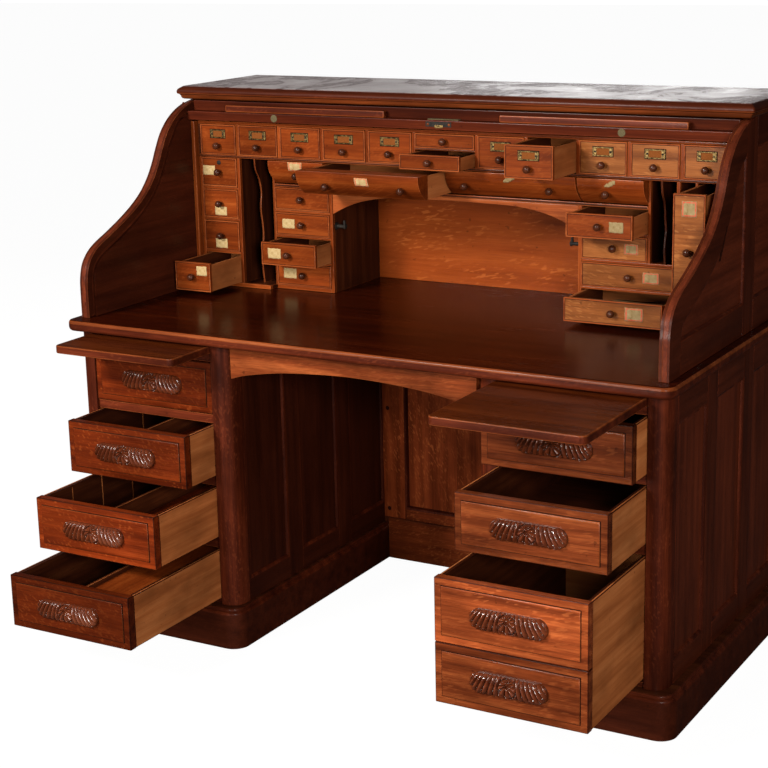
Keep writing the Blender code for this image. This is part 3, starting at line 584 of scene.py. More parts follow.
S_CURVE = [
    (0.012, UPPER_BASE), (0.012, 0.83), (0.014, 0.862), (0.024, 0.894), (0.046, 0.919),
    (0.076, 0.937), (0.12, 0.955), (0.172, 0.978), (0.222, 1.004), (0.262, 1.031),
    (0.294, 1.063), (0.318, 1.098), (0.337, 1.134), (0.358, 1.168), (0.388, 1.198),
    (0.426, 1.221), (0.47, 1.236), (0.512, UPPER_TOP),
]
# The edge_red bands on the beads are painted highlights along the mouldings.
CROWN_STEPS = [  # half width, front, height, material of the band above
    (0.744, 0.472, 1.244, "crown"), (0.747, 0.469, 1.2445, "crown"), (0.75, 0.4655, 1.2458, "crown"),
    (0.7517, 0.4635, 1.2485, "crown"), (0.7524, 0.4628, 1.2515, "crown"), (0.7526, 0.4626, 1.2532, "edge_red"),
    (0.7545, 0.461, 1.254, "edge_red"), (0.755, 0.4606, 1.2553, "case"), (0.7536, 0.4618, 1.256, "case"),
    (0.756, 0.4598, 1.2566, "edge_red"), (0.7585, 0.457, 1.2578, "edge_red"),
    (0.7598, 0.4554, 1.26, "case_red"), (0.76, 0.455, 1.263, "case"), (0.7597, 0.4554, 1.2655, "case"),
    (0.7586, 0.4566, 1.2685, "case"), (0.756, 0.4598, 1.2712, "case"), (0.7525, 0.4646, 1.2738, "case"),
    (0.75, 0.468, 1.2756, "crown_top"), (0.748, 0.4705, 1.2766, "crown_top"),
    (0.7462, 0.4725, 1.277, "crown_top"),
]


def crown():
    loops = [lifted("z", rounded_front(-x, x, y, 0.804, 0.004, 0.0, 3), z) for x, y, z, _ in CROWN_STEPS]
    with Piece("crown_board", CASE, "crown_top", slot="case_oak") as p:
        p.loft(loops, [key for *_, key in CROWN_STEPS[:-1]], "x", 0.0, cap_keys=("crown", "crown_top"))


def tambour_path():
    """The middle of the groove in the upper ends, from the front foot over the top and down behind."""
    path = [q for q in inset_path(smooth(S_CURVE[:14], 2), 0.024) if q[0] < 0.4]
    path[0] = (path[0][0], UPPER_BASE + 0.008)
    path += [(0.414, 1.1985), (0.434, RUN_Z), (0.56, RUN_Z), (BEND_Y, RUN_Z)]
    turn = [math.radians(75 - 15 * i) for i in range(6)]
    path += [(BEND_Y + BEND_R * math.cos(a), RUN_Z - BEND_R + BEND_R * math.sin(a)) for a in turn]
    return path + [(BEND_Y + BEND_R, 0.774)]


STILE_FRONT, STILE_BACK, REAR_STILE = 0.462, 0.53, 0.738      # y of the uprights of the upper ends
LOW_RAIL, HIGH_RAIL, S_PANEL_TOP = 0.838, 1.18, 1.172


def upper_end(side, label):
    """A board with the tambour's groove inside, and the framing and the rounded S edge over it outside."""
    curve = smooth(S_CURVE, 4)
    whole = curve + [(CASE_BACK, UPPER_TOP), (CASE_BACK, UPPER_BASE)]
    inside, bed, core, face = (x * side for x in (END_IN, END_IN + 0.0075, END_OUT - 0.005, END_OUT))
    path = tambour_path()
    outer_wall, inner_wall = inset_path(path, -0.0052), inset_path(path, 0.0052)
    with Piece(f"upper_end_{label}_panelling", CASE, f"upper_end_{label}", slot="case_oak") as p:
        # Painted light: shade 4.5 lightens this board, which shows as the sunk panels outside.
        p.prism(whole, "x", bed, core, "case", "y", "case_red", 0.0008, 4.5)
        p.prism(whole + outer_wall[::-1], "x", inside, bed, "case", "y", "edge_red", 0.0006, 0.1)
        foot = [(path[-1][0], UPPER_BASE), (inner_wall[0][0], UPPER_BASE)]
        p.prism(inner_wall + foot, "x", inside, bed, "case", "y", "case_red", 0.0006, 0.0)

        rim = [q for q in inset_path(smooth(S_CURVE[2:16], 4), 0.062) if q[1] > 0.85 and q[0] < 0.452]
        corner = rim[0][0]
        hole = [(corner, LOW_RAIL), *rim, (STILE_FRONT, S_PANEL_TOP), (STILE_FRONT, LOW_RAIL)]
        band = [q for q in curve if q[0] <= STILE_FRONT + 1e-6]
        band += [(STILE_FRONT, 1.2365), (STILE_FRONT, S_PANEL_TOP), *rim[::-1], (corner, LOW_RAIL),
                 (corner, UPPER_BASE)]
        p.prism(band, "x", core, face, "case", "y", "edge_red", 0.0022, 0.4, 28)
        stile = [(STILE_FRONT, UPPER_BASE), (STILE_BACK, UPPER_BASE), (STILE_BACK, UPPER_TOP), (0.512, UPPER_TOP),
                 (0.47, 1.2358), (STILE_FRONT, 1.2332)]
        for outline, grain in (
            (rectangle(corner, STILE_FRONT, UPPER_BASE, LOW_RAIL), "y"),
            (stile, "z"),
            (rectangle(STILE_BACK, REAR_STILE, UPPER_BASE, LOW_RAIL), "y"),
            (rectangle(STILE_BACK, REAR_STILE, HIGH_RAIL, UPPER_TOP), "y"),
            (rectangle(REAR_STILE, CASE_BACK, UPPER_BASE, UPPER_TOP), "z"),
        ):
            p.prism(outline, "x", core, face, "case", grain, "case_red", 0.0022)
        profile = [(-0.0005, -0.0002), (0.0035, -0.0008), (0.0052, -0.003), (0.0058, -0.0052), (-0.0005, -0.0052)]
        profile = [(inward, out * side) for inward, out in profile]
        p.bead(hole, "x", face, profile, "case_red", "y", 0.3)
        p.bead(rectangle(STILE_BACK, REAR_STILE, LOW_RAIL, HIGH_RAIL), "x", face, profile, "case_red", "z", 0.3)
        if side > 0:
            crack = [(0.298, 0.962), (0.3025, 0.9625), (0.3245, 0.996), (0.3425, 1.03), (0.3395, 1.0305), (0.317, 1.0)]
            p.prism(crack, "x", face - 0.0002, face + 0.0003, "front_line", "y", None, 0.0)


def upper_back():
    edges = [-0.7227 + 1.4454 * i / 8 for i in range(9)]
    with Piece("upper_back_boards", CASE, "upper_back", slot="case_oak") as p:
        for a, b in zip(edges, edges[1:]):
            p.board((a + 0.0003, b - 0.0003), (0.781, 0.795), (UPPER_BASE, UPPER_TOP - 0.0005), "inside", "z",
                    round_edge=0.0018)


def writing_top():
    steps = [(0.0075, TOP_UNDER), (0.005, 0.7397), (0.0022, 0.7418), (0.0006, 0.7448), (0.0, 0.748), (0.0, 0.757),
             (0.0004, 0.7598), (0.0017, 0.7622), (0.0036, 0.764), (0.006, 0.7649), (0.0085, TOP_UPPER)]
    loops = [lifted("z", rounded_front(-TOP_HALF, TOP_HALF, -0.028, CASE_BACK, 0.026, inset), z) for inset, z in steps]
    keys = ["case_red"] * 5 + ["edge_red"] * 3 + ["top"] * 2
    with Piece("writing_top_board", CASE, "writing_top", slot="case_oak") as p:
        p.loft(loops, keys, "x", 0.0, cap_keys=("inside", "top"))


def plinth(side, label):
    """A skirting with round front corners and a lip, open inside."""
    low, high = sorted((0.302 * side, 0.778 * side))
    steps = [(0.001, 0.0), (0.0, 0.0015), (0.0, 0.085), (0.0006, 0.088), (0.0022, 0.0905), (0.0045, 0.0916),
             (0.006, 0.0928), (0.0061, 0.0965), (0.007, 0.0985), (0.0092, PLINTH_TOP)]
    outer = [lifted("z", rounded_front(low, high, -0.025, CASE_BACK, 0.04, inset), z) for inset, z in steps]
    x0, x1 = low + 0.038, high - 0.048
    hole = [(x0, 0.02)] * 10 + [(x1, 0.02)] * 10 + [(x1, 0.75), (x0, 0.75)]
    hole = [(x + 1e-5 * i, y) for i, (x, y) in enumerate(hole)]     # apart, so that no face has a zero side
    foot = lifted("z", hole, 0.0)
    keys = ["inside"] + ["case"] * 2 + ["case_red"] * 6 + ["case"] + ["inside"] * 2
    with Piece(f"plinth_{label}_skirting", CASE, f"plinth_{label}", slot="case_oak") as p:
        p.loft([foot, *outer, lifted("z", hole, PLINTH_TOP), foot], keys, "x", -0.8, ends="open")


PANEL_Y = ((0.056, 0.229), (0.291, 0.466), (0.529, 0.704))
PANEL_BASE = 0.154


def pedestal_side(side, label, outer):
    """A corner post and, behind it, stiles and rails round three tall sunk panels."""
    # Painted light and shade: the outer side's boards, its sunk panels most, are lightened; the inner side, facing the
    # kneehole, is darkened.
    if outer:
        kind, face, bay, inward, top = "outer", POST_OUTER, BAY_OUTER, -1, 0.672
        shades = {"panel": 4.5, "stile": 1.2, "low rail": 0.8, "high rail": 1.4}
    else:
        kind, face, bay, inward, top = "inner", POST_INNER, BAY_INNER, 1, 0.69
        shades = {"panel": -2.6, "stile": -2.2, "low rail": -2.4, "high rail": -2.4}
    centre = face + inward * POST_ROUND
    turn = [math.radians(7.5 * i) for i in range(13)]
    corner = [(centre - inward * POST_ROUND * math.sin(a), POST_ROUND - POST_ROUND * math.cos(a)) for a in turn]
    post = [(bay, 0.0), *corner, (face, 0.0505), (bay, 0.0505)]
    core, back = (face + inward * 0.006) * side, (face + inward * SIDE_THICK) * side
    skin, height = (face * side, core), (PEDESTAL_BASE, PEDESTAL_TOP)
    with Piece(f"pedestal_{label}_{kind}_panelling", CASE, f"pedestal_{label}_{kind}_side", slot="case_oak") as p:
        p.prism([(x * side, y) for x, y in post], "z", *height, "case_red", "z", "case_red", 0.0012, 0.2, 30)
        p.board((core, back), (0.05, 0.79), height, "case", "z", shade=shades["panel"])
        marks = [0.05, *(y for pair in PANEL_Y for y in pair), 0.79]
        for span in zip(marks[0::2], marks[1::2]):
            p.board(skin, span, height, "case", "z", "case_red", 0.0016, shades["stile"])
        profile = [(-0.0005, 0.0003), (0.004, 0.001), (0.0062, 0.0035), (0.007, 0.0062), (-0.0005, 0.0062)]
        profile = [(inset, out * inward * side) for inset, out in profile]
        for span in PANEL_Y:
            p.board(skin, span, (PEDESTAL_BASE, PANEL_BASE), "case", "y", "case_red", 0.0012, shades["low rail"])
            p.board(skin, span, (top, PEDESTAL_TOP), "case", "y", "case_red", 0.0012, shades["high rail"])
            p.bead(rectangle(*span, PANEL_BASE, top), "x", face * side, profile, "case_red", "z", 0.1)


DRAWER_Z = {1: (0.5695, 0.693), 2: (0.4195, 0.5455), 3: (0.268, 0.393), 4: (0.1135, 0.2385)}
RAIL_Z = [(0.1005, 0.1122), (0.2398, 0.2667), (0.3943, 0.4182), (0.5468, 0.5682), (0.6943, 0.7148), (0.7353, 0.7388)]


def pedestal_frame(side, label, rails):
    with Piece(f"pedestal_{label}_rails", CASE, f"pedestal_{label}_frame", slot="case_oak") as p:
        p.board((0.3413 * side, 0.7277 * side), (0.772, 0.788), (PEDESTAL_BASE, PEDESTAL_TOP), "inside", "z")
        for z in rails:
            p.board((0.3663 * side, 0.7057 * side), (0.008, 0.046), z, "case_red", "x", "edge_red", 0.0014)
            for a, b in ((0.3413, 0.38), (0.692, 0.7277)):
                p.board((a * side, b * side), (0.0503, 0.772), z, "inside", "y")


KNEE_HALF, KNEE_PANEL, APRON_HALF = 0.3012, 0.25, 0.3165


def kneehole():
    skin = (0.7002, 0.713)
    across = (-KNEE_PANEL, KNEE_PANEL)
    with Piece("kneehole_back_panelling", CASE, "kneehole_back", slot="case_oak") as p:
        for x in ((-KNEE_HALF, -0.1004), (-0.1004, 0.1004), (0.1004, KNEE_HALF)):
            p.board(x, (0.712, 0.722), (0.0, PEDESTAL_TOP), "kneehole", "z", round_edge=0.0006)
        for s in (-1, 1):
            p.board((s * KNEE_PANEL, s * APRON_HALF), skin, (0.115, PEDESTAL_TOP), "kneehole", "z", "case_red",
                    shade=1.6)
            p.board((s * KNEE_HALF, s * APRON_HALF), (0.7005, 0.7218), (0.101, PEDESTAL_TOP), "inside", "z")
        p.board(across, skin, (0.115, 0.145), "kneehole", "x", "case_red")
        p.board(across, skin, (0.65, PEDESTAL_TOP), "kneehole", "x", "case_red")
        p.board((-KNEE_HALF, KNEE_HALF), (0.694, 0.713), (0.0005, 0.115), "kneehole", "x", "edge_red", 0.003)
        profile = [(-0.0005, 0.0003), (0.0035, 0.001), (0.0055, 0.006), (0.0062, 0.0118), (-0.0005, 0.0118)]
        p.bead(rectangle(*across, 0.145, 0.65), "y", skin[0], profile, "case_red", "z", 0.2)
        for z in (0.42, 0.14):
            dot = [(0.0005, 0.0006), (0.0052, 0.0006), (0.006, 0.0), (0.006, -0.002)]
            p.turned((-0.3, 0.7004, z), dot, "front_line", 16)
    under = smooth([(-APRON_HALF, 0.659), (-0.285, 0.669), (-0.24, 0.678), (-0.18, 0.687), (-0.12, 0.692),
                    (-0.06, 0.6955), (0.0, 0.697)])
    outline = mirrored(under) + [(APRON_HALF, PEDESTAL_TOP), (-APRON_HALF, PEDESTAL_TOP)]
    with Piece("kneehole_apron_board", CASE, "kneehole_apron", slot="case_oak") as p:
        p.prism(outline, "y", 0.008, 0.03, "front_brown", "x", "edge_red", 0.0018, 0.4)


# ---------------------------------------------------------------- the gallery

EDGE = "gallery_edge"
DEEP, LOW = (ROW_FRONT + CASE_SET, GALLERY_BACK), (STACK_FRONT + CASE_SET, GALLERY_BACK)
LIPPING = 0.01
CENTRE_HALF, STACK_IN, STACK_OUT, STACK_OUT_RIGHT, WIDE_OUT = 0.08, 0.341, 0.502, 0.504, 0.581
COLUMN_IN, SIDE_IN = 0.596, 0.704


def gallery_top():
    front, stack, back = DEEP[0], LOW[0], GALLERY_BACK + 0.001
    width, row = (-GALLERY_HALF, GALLERY_HALF), (SHELF[1], ROW_TOP)
    cove_row = (COVE_SHELF[1], SHELF[0])
    with Piece("gallery_top_boards", CASE, "gallery_top_frame", slot="gallery_oak") as p:
        p.board(width, (front, back), (ROW_TOP, GALLERY_TOP), "gallery", "x", EDGE, 0.0018)
        p.board(width, (front, back), SHELF, "gallery_in", "x", EDGE, 0.0016)
        p.board((-CENTRE_HALF, CENTRE_HALF), (front, back), (1.142, 1.146), "gallery_in", "x", EDGE)
        p.board((-0.5017, 0.5037), (stack, back), COVE_SHELF, "gallery_in", "x", EDGE, 0.0018)
        for x, grain in (((-GALLERY_HALF, -0.3402), "z"), ((-0.3398, 0.3398), "x"), ((0.3402, GALLERY_HALF), "z")):
            p.board(x, (0.7355, 0.7435), (UPPER_BASE, GALLERY_TOP), "recess", grain, round_edge=0.0005, shade=0.0)
        p.board((-0.003, 0.003), (0.53, back), cove_row, "gallery_in", "y")
        for side in (-1, 1):
            p.board((SIDE_IN * side, GALLERY_HALF * side), (front, back), row, "gallery_in", "y", EDGE)
            for x in (0.084, 0.2125, 0.342, 0.467, 0.592):
                for half, y, key, grain in ((0.004, (front, front + 0.012), "gallery", "z"),
                                            (0.0035, (front + 0.012, back), "gallery_in", "y")):
                    p.board(((x - half) * side, (x + half) * side), y, row, key, grain, EDGE)
            p.board((0.336 * side, 0.342 * side), (0.53, back), cove_row, "gallery_in", "y")
    arch = smooth([(-0.3325, 0.966), (-0.315, 0.976), (-0.285, 0.99), (-0.25, 1.002), (-0.205, 1.011),
                   (-0.15, 1.0165), (0.0, 1.019)])
    with Piece("gallery_arched_strip", CASE, slot="gallery_oak") as p:
        p.prism(mirrored(arch) + [(0.3325, 1.027), (-0.3325, 1.027)], "y", 0.505, 0.514, EDGE, "x", EDGE, 0.0016, 0.6)


def wavy_divider(p, x, foot):
    """A thin divider whose front edge waves in and out, as the hand finds the papers."""
    top, span = 1.098, 1.098 - foot
    wave = [(0.478, CASE_TOP), (0.482, 1.07), (0.497, 1.045), (0.505, 1.01), (0.5, top - 0.4 * span),
            (0.508, top - 0.6 * span), (0.499, top - 0.8 * span), (0.505, foot)]
    outline = smooth(wave, 4) + [(0.73, foot), (0.73, CASE_TOP)]
    p.prism(outline, "x", x - 0.002, x + 0.002, "gallery_in", "z", EDGE, 0.0011, 0.2, 30)


def upright(p, x, y, z):
    """A partition with a lighter lipping on its front edge and faces behind it darkened with painted shade."""
    p.board(x, (y[0], y[0] + LIPPING), z, "gallery", "z", EDGE, 0.0014)
    p.board((x[0] + 0.0004, x[1] - 0.0004), (y[0] + LIPPING, y[1]), z, "gallery_in", "z", EDGE, 0.0006)


def shelf(p, x, y, z):
    p.board(x, (y[0], y[0] + LIPPING), z, "gallery", "x", EDGE, 0.0014)
    p.board(x, (y[0] + LIPPING, y[1]), (z[0] + 0.0002, z[1] - 0.0002), "gallery_in", "y", EDGE, 0.0006)


def gallery_cases():
    base, tall = (UPPER_BASE, FLOOR), (FLOOR, CASE_TOP)
    whole, to_cove = (UPPER_BASE, CASE_TOP), (UPPER_BASE, 1.0267)
    stack = ((0.8335, 0.8395), (0.8985, 0.9045), (0.9635, 0.9695))
    with Piece("gallery_left_boards", CASE, "gallery_left_case", slot="gallery_oak") as p:
        upright(p, (-GALLERY_HALF, -SIDE_IN), DEEP, whole)
        shelf(p, (-SIDE_IN, -0.508), DEEP, base)
        shelf(p, (-0.508, -STACK_IN), LOW, base)
        upright(p, (-COLUMN_IN, -0.588), DEEP, tall)
        upright(p, (-0.508, -STACK_OUT), LOW, whole)
        upright(p, (-STACK_IN, -0.333), LOW, to_cove)
        for z in ((0.851, 0.857), (0.936, 0.942), (1.017, 1.023)):
            shelf(p, (-SIDE_IN, -COLUMN_IN), DEEP, z)
        for z in stack:
            shelf(p, (-STACK_OUT, -STACK_IN), LOW, z)
        wavy_divider(p, -0.545, FLOOR)
    with Piece("gallery_right_boards", CASE, "gallery_right_case", slot="gallery_oak") as p:
        upright(p, (SIDE_IN, GALLERY_HALF), DEEP, whole)
        upright(p, (0.333, STACK_IN), LOW, to_cove)
        shelf(p, (STACK_IN, WIDE_OUT), LOW, base)
        shelf(p, (WIDE_OUT, SIDE_IN), DEEP, base)
        upright(p, (WIDE_OUT, 0.589), DEEP, tall)
        upright(p, (0.624, 0.63), DEEP, tall)
        upright(p, (STACK_OUT_RIGHT, 0.51), LOW, (0.9045, CASE_TOP))
        shelf(p, (STACK_IN, WIDE_OUT), LOW, stack[1])
        shelf(p, (STACK_IN, WIDE_OUT), LOW, stack[0])
        shelf(p, (STACK_IN, STACK_OUT_RIGHT), LOW, stack[2])
        wavy_divider(p, 0.545, 0.9045)


# ---------------------------------------------------------------- drawers

KNOB = [(0.0048, -0.003), (0.005, 0.0), (0.0046, 0.002), (0.0045, 0.004), (0.0058, 0.0056), (0.0078, 0.0074),
        (0.0088, 0.0098), (0.0089, 0.0122), (0.008, 0.0148), (0.0062, 0.0168), (0.004, 0.018), (0.0015, 0.0185)]
FACE_SET = 0.0012           # the field of a small front, behind its raised edge
RAGGED = 0.0006
SKIN_SHARE = 0.55           # share of a drawer side's thickness that is pale outside wood; the rest is dark, painted shade inside the box


def groove(p, outline, y, width, depth):
    """A dark line let into a front: dirt in the groove and its painted shade."""
    p.bead(outline, "y", y, [(0.0, depth[0]), (0.0, depth[1]), (width, depth[1]), (width, depth[0])], "front_line",
           "x", 0.0)


def knob(name, body, spots):
    """Turned knobs, each at the middle of its foot on the drawer front."""
    with Piece(name, body, slot="drawer_oak") as p:
        for spot in spots:
            p.turned(spot, KNOB, "knob", 20)


def card_holder(name, body, x, z, width, height, y):
    """A pressed brass frame with a card behind it and a pin at each side."""
    across, up = width / 2, height / 2
    rim = rectangle(x - across, x + across, z - up, z + up)
    profile = [(0.0, 0.0002), (0.0002, -0.0016), (0.0012, -0.0024), (0.0026, -0.0024), (0.0034, -0.0014),
               (0.0035, 0.0002)]
    pin = [(0.0023, -0.0002), (0.0023, 0.001), (0.0016, 0.0016), (0.0004, 0.0018)]
    with Piece(name, body) as p:
        p.bead(rim, "y", y, profile, "brass", "x", 0.0)
        # A dark line round the frame: patina and its painted shadow.
        groove(p, inset_loop(rim, -0.001), y, 0.0011, (0.0002, -0.0003))
        p.board((x - across + 0.002, x + across - 0.002), (y - 0.0009, y + 0.0002), (z - up + 0.002, z + up - 0.002),
                "card", "x", round_edge=0.0002)
        for side in (-1, 1):
            p.board((x + side * (across - 0.003), x + side * (across - 0.0095)), (y - 0.0017, y - 0.0008),
                    (z - up + 0.003, z + up - 0.003), "brass", "z", "front_line", 0.0004)
            p.turned((x + side * (across - 0.0064), y - 0.0012, z), pin, "iron", 12)


def label(name, body, x, z, width, height, y, red, torn=0.0):
    """A gummed paper label with slightly ragged edges. y gives the front's place at a height."""
    rng = random.Random(name)
    nx, nz = 10, 7
    points, grain, faces = [], [], []
    phase, _ = rng.uniform(0, 30), rng.uniform(0, 30)
    for j in range(nz + 1):
        for i in range(nx + 1):
            u, v = i / nx, j / nz
            px = x + (u - 0.5) * width + (rng.uniform(-1, 1) * RAGGED if i in (0, nx) else 0.0)
            pz = z + (v - 0.5) * height + (rng.uniform(-1, 1) * RAGGED if j in (0, nz) else 0.0)
            if torn:
                rng.random()        # a torn label draws once more for each point
            points.append((px, y(pz) - 0.00035 - 0.0002 * math.sin(3 * u + 5 * v + phase), pz))
            grain.append((u, v, 1.0 if red else 0.0))
    for j in range(nz):
        for i in range(nx):
            a, u, v = j * (nx + 1) + i, (i + 0.5) / nx, (j + 0.5) / nz
            if not torn or (u + (1 - v) >= torn and (1 - u) + v >= torn * 0.7):
                faces.append([a, a + 1, a + nx + 2, a + nx + 1])
    with Piece(name, body, sheet=(0.0002, 0.0)) as p:
        p.add(points, faces, ["paper_old" if x > 0 else "paper"] * len(faces), "x", 0.0, grain)


def tray(p, x, y, z, wall, bottom, rounds=0.0009, parting=None, rim="side"):
    """The box behind a drawer front: pale outside, dark inside, where the dark paints the shade in the box.

    parting is a lengthwise partition: its share of the width, the height of the raised floor to its right
    as a share of the depth, and where thin pale strips stand on the left side.
    """
    skin = wall * SKIN_SHARE
    front, back = y[0], y[1] - wall
    # Painted shade: in the big drawers the inner faces of the walls and the floor are darkened further.
    shade = 0.5 if rim == "side" else -2.0
    for edge, inward in ((x[0], 1), (x[1], -1)):
        p.board((edge, edge + inward * skin), y, z, "side", "y", rim, rounds)
        p.board((edge + inward * skin, edge + inward * wall), (front, back), (z[0] + 0.001, z[1] - 0.0006), "inside",
                "y", rim, rounds * 0.6, shade)
    left, right = x[0] + wall, x[1] - wall
    p.board((x[0] + skin, x[1] - skin), (back, y[1]), (z[0], z[1] - 0.002), "side", "x", rim, rounds)
    p.board((left, right), (front, back), (z[0], z[0] + bottom), "inside", "x", "inside", 0.0003, shade)
    if parting:
        share, level, strips = parting
        middle = left + share * (right - left)
        low, high = z[0] + bottom, z[1] - 0.006
        p.board((middle - 0.003, middle + 0.003), (front, back), (low, high), "inside", "y", "side", 0.0008)
        p.board((middle + 0.003, right), (front, back), (low, low + level * (high - low)),
                "gallery" if level > 0.8 else "front", "y", round_edge=0.0004, shade=-0.6)
        for part in strips:
            at = front + part * (y[1] - front)
            p.board((left + 0.0001, left + 0.0012), (at, at + 0.0022), (low, high), "side", "z", round_edge=0.0002)


def small_front(p, x, y, z, key):
    """A drawer front with a thin raised edge, a fine dark groove inside it and a flat field."""
    p.board(x, (y + FACE_SET, y + 0.01), z, key, "x", EDGE, 0.0012)
    rim = rectangle(*x, *z)
    profile = [(0.0, 0.0016), (0.0002, 0.0006), (0.001, 0.0), (0.0022, 0.0), (0.003, 0.0008), (0.003, 0.0016)]
    p.bead(rim, "y", y, profile, EDGE, "x", 0.2)
    groove(p, inset_loop(rim, 0.003), y + FACE_SET, 0.0012, (0.0002, -0.0001))


def small_drawer(name, x, z, front, extension=0.0, knobs=((0.5, 0.5),), deep=0.245, holder=False, note=None,
                 key="gallery"):
    """note is a label: its place across and up as shares of the front, width, height and whether it has a red rim."""
    x0, x1, z0, z1 = x[0] + EASE, x[1] - EASE, z[0] + EASE, z[1] - EASE
    y = front - extension

    def across(share):
        return x0 + share * (x1 - x0)

    def up(share):
        return z0 + share * (z1 - z0)

    with Piece(name + "_front", name, name, slot="gallery_oak") as p:
        small_front(p, (x0, x1), y, (z0, z1), key)
    with Piece(name + "_box", name, slot="drawer_oak") as p:
        tray(p, (x0 + 0.0008, x1 - 0.0008), (y + 0.01, y + deep), (z0 + 0.001, z1 - 0.004), 0.006, 0.004)
    knob(name + "_knob", name, [(across(a), y + FACE_SET, up(b)) for a, b in knobs])
    if holder:
        card_holder(name + "_card_holder", name, (x0 + x1) / 2, up(0.69), 0.43 * (x1 - x0), 0.285 * (z1 - z0),
                    y + FACE_SET)
    if note:
        a, b, *size, red = note
        label(name + "_label", name, across(a), up(b), *size, lambda height: y + FACE_SET, red)


COVE = [(0.473, 1.0965), (0.4732, 1.086), (0.4765, 1.073), (0.4845, 1.06), (0.496, 1.048), (0.51, 1.0368)]
COVE_LOW, COVE_TALL = 1.0368, 0.0597


def cove_drawer(name, x, extension, knobs, note):
    """A drawer with a hollow front; note is as for a small drawer, then how far the label is torn."""
    x0, x1 = x[0] + EASE, x[1] - EASE
    curve = [(y - extension, z) for y, z in smooth(COVE, 4)]
    back = 0.522 - extension
    outline = curve + [(back, curve[-1][1]), (back, curve[0][1])]
    with Piece(name + "_front", name, name, slot="gallery_oak") as p:
        p.prism(outline, "x", x0, x1, "gallery", "x", EDGE, 0.0011, None, 30)
    with Piece(name + "_box", name, slot="drawer_oak") as p:
        tray(p, (x0 + 0.0012, x1 - 0.0012), (0.52 - extension, 0.725 - extension), (1.0375, 1.0935), 0.006, 0.004)
    knob(name + "_knobs", name, [(x0 + share * (x1 - x0), 0.484 - extension, 1.06) for share in knobs])
    ys, zs = zip(*sorted(curve, key=lambda point: point[1]))
    a, b, *size, red, torn = note
    label(name + "_label", name, x0 + a * (x1 - x0), COVE_LOW + b * COVE_TALL, *size,
          lambda height: float(np.interp(height, zs, ys)), red, torn)


PULL_HALF, PULL_ROUND = 0.086, 0.0225
PULL_STRAIGHT = PULL_HALF - PULL_ROUND
FAN, FAN_FOOT, HUB = 0.0205, 0.0105, 0.003         # radius of the fan, its centre below the middle, radius of its hub


def pull_reach(angle):
    """Distance from the middle of a pull to its rounded edge."""
    c, s = abs(math.cos(angle)), abs(math.sin(angle)) * PULL_STRAIGHT
    if c * PULL_ROUND <= s:
        return PULL_ROUND * PULL_STRAIGHT / s
    return PULL_STRAIGHT * c + math.sqrt(max(PULL_ROUND ** 2 - s ** 2, 0.0))


def pull_height(px, pz):
    """Height of the carving above the front, and how near it is to the crest of a petal or rib, from 0 to 1."""
    depth = 1.0 - math.hypot(max(abs(px) - PULL_STRAIGHT, 0.0), pz) / PULL_ROUND
    dome = math.sqrt(max(1.0 - (1.0 - min(max(depth, 0.0), 1.0)) ** 2.4, 0.0))
    base = 0.0035 + 0.0138 * dome
    ring = math.hypot(px, pz)
    if ring < FAN:
        angle, reach = math.atan2(px, FAN_FOOT - pz), math.hypot(px, FAN_FOOT - pz)
        petal = abs(math.cos(angle * 6.0)) ** 0.8 if reach > HUB else 0.95 - 0.6 * (reach / HUB) ** 2
        crest = petal * min(1.0, (FAN - ring) / 0.0022)
        return base * (0.42 + 0.52 * crest), crest
    up = (pz / PULL_ROUND + 1) / 2
    ribs = (abs(px) / PULL_HALF * (1 + 0.42 * up ** 1.4) - 0.25) / 0.75 * 5.0
    crest = abs(math.sin(math.pi * ribs)) ** 0.8 * min(1.0, (ring - FAN) / 0.002)
    return base * (0.36 + 0.64 * crest), crest


def carved_pull(name, body, x, y, z):
    """A low dome carved with a fan of petals in the middle and ribs sweeping out to both ends, its grooves darkened
    with painted shade.
    """
    around, rings = 240, 46
    points, faces, shades = [], [], []
    for j in range(1, rings + 1):
        for i in range(around):
            angle = 2 * math.pi * i / around
            d = (j / rings) ** 0.8 * pull_reach(angle)
            px, pz = d * math.cos(angle), d * math.sin(angle)
            height, crest = pull_height(px, pz) if j < rings else (-0.001, 0.0)
            points.append((x + px, y - height, z + pz))
            # Painted shade: each point is darkened the farther it lies from a crest, deepest in the grooves; the
            # crests are a little lighter.
            shades.append(1.2 - 5.2 * (1.0 - crest) ** 1.6)
    centre, rim = len(points), len(points) - around
    points += [(x, y - pull_height(0.0, 0.0)[0], z), (x, y + 0.001, z)]
    # Painted shade: the back centre is as dark as the deepest groove.
    shades += [0.0, -4.0]
    for i in range(around):
        k = (i + 1) % around
        faces += [[a + around + i, a + around + k, a + k, a + i] for a in range(0, rim, around)]
        faces += [[i, k, centre], [rim + k, rim + i, centre + 1]]
    with Piece(name, body, slot="drawer_oak") as p:
        p.add(points, faces, ["pull"] * len(faces), "x", shades)


def pedestal_front(p, x, y, z, shade, key):
    """A front with a flat border and a raised field with a small moulded step round it."""
    p.board(x, (y + 0.003, y + 0.024), z, key, "x", "edge_dark", 0.002, shade - 0.4)
    field = inset_loop(rectangle(*x, *z), 0.017)
    groove(p, inset_loop(field, -0.0016), y + 0.003, 0.0022, (0.0003, -0.00015))
    steps = ((0.0, 0.0032), (0.0, 0.0014), (0.0008, 0.0005), (0.0022, 0.0001), (0.0036, 0.0))
    loops = [lifted("y", inset_loop(field, inward), y + out) for inward, out in steps]
    # The field's first band, its wall, is dark: dirt and painted shade in the step.
    p.loft(loops, ["front_line", "edge_red", key, key], "x", shade, cap_keys=(key, key))


PEDESTAL_X = (0.3668, 0.7052)


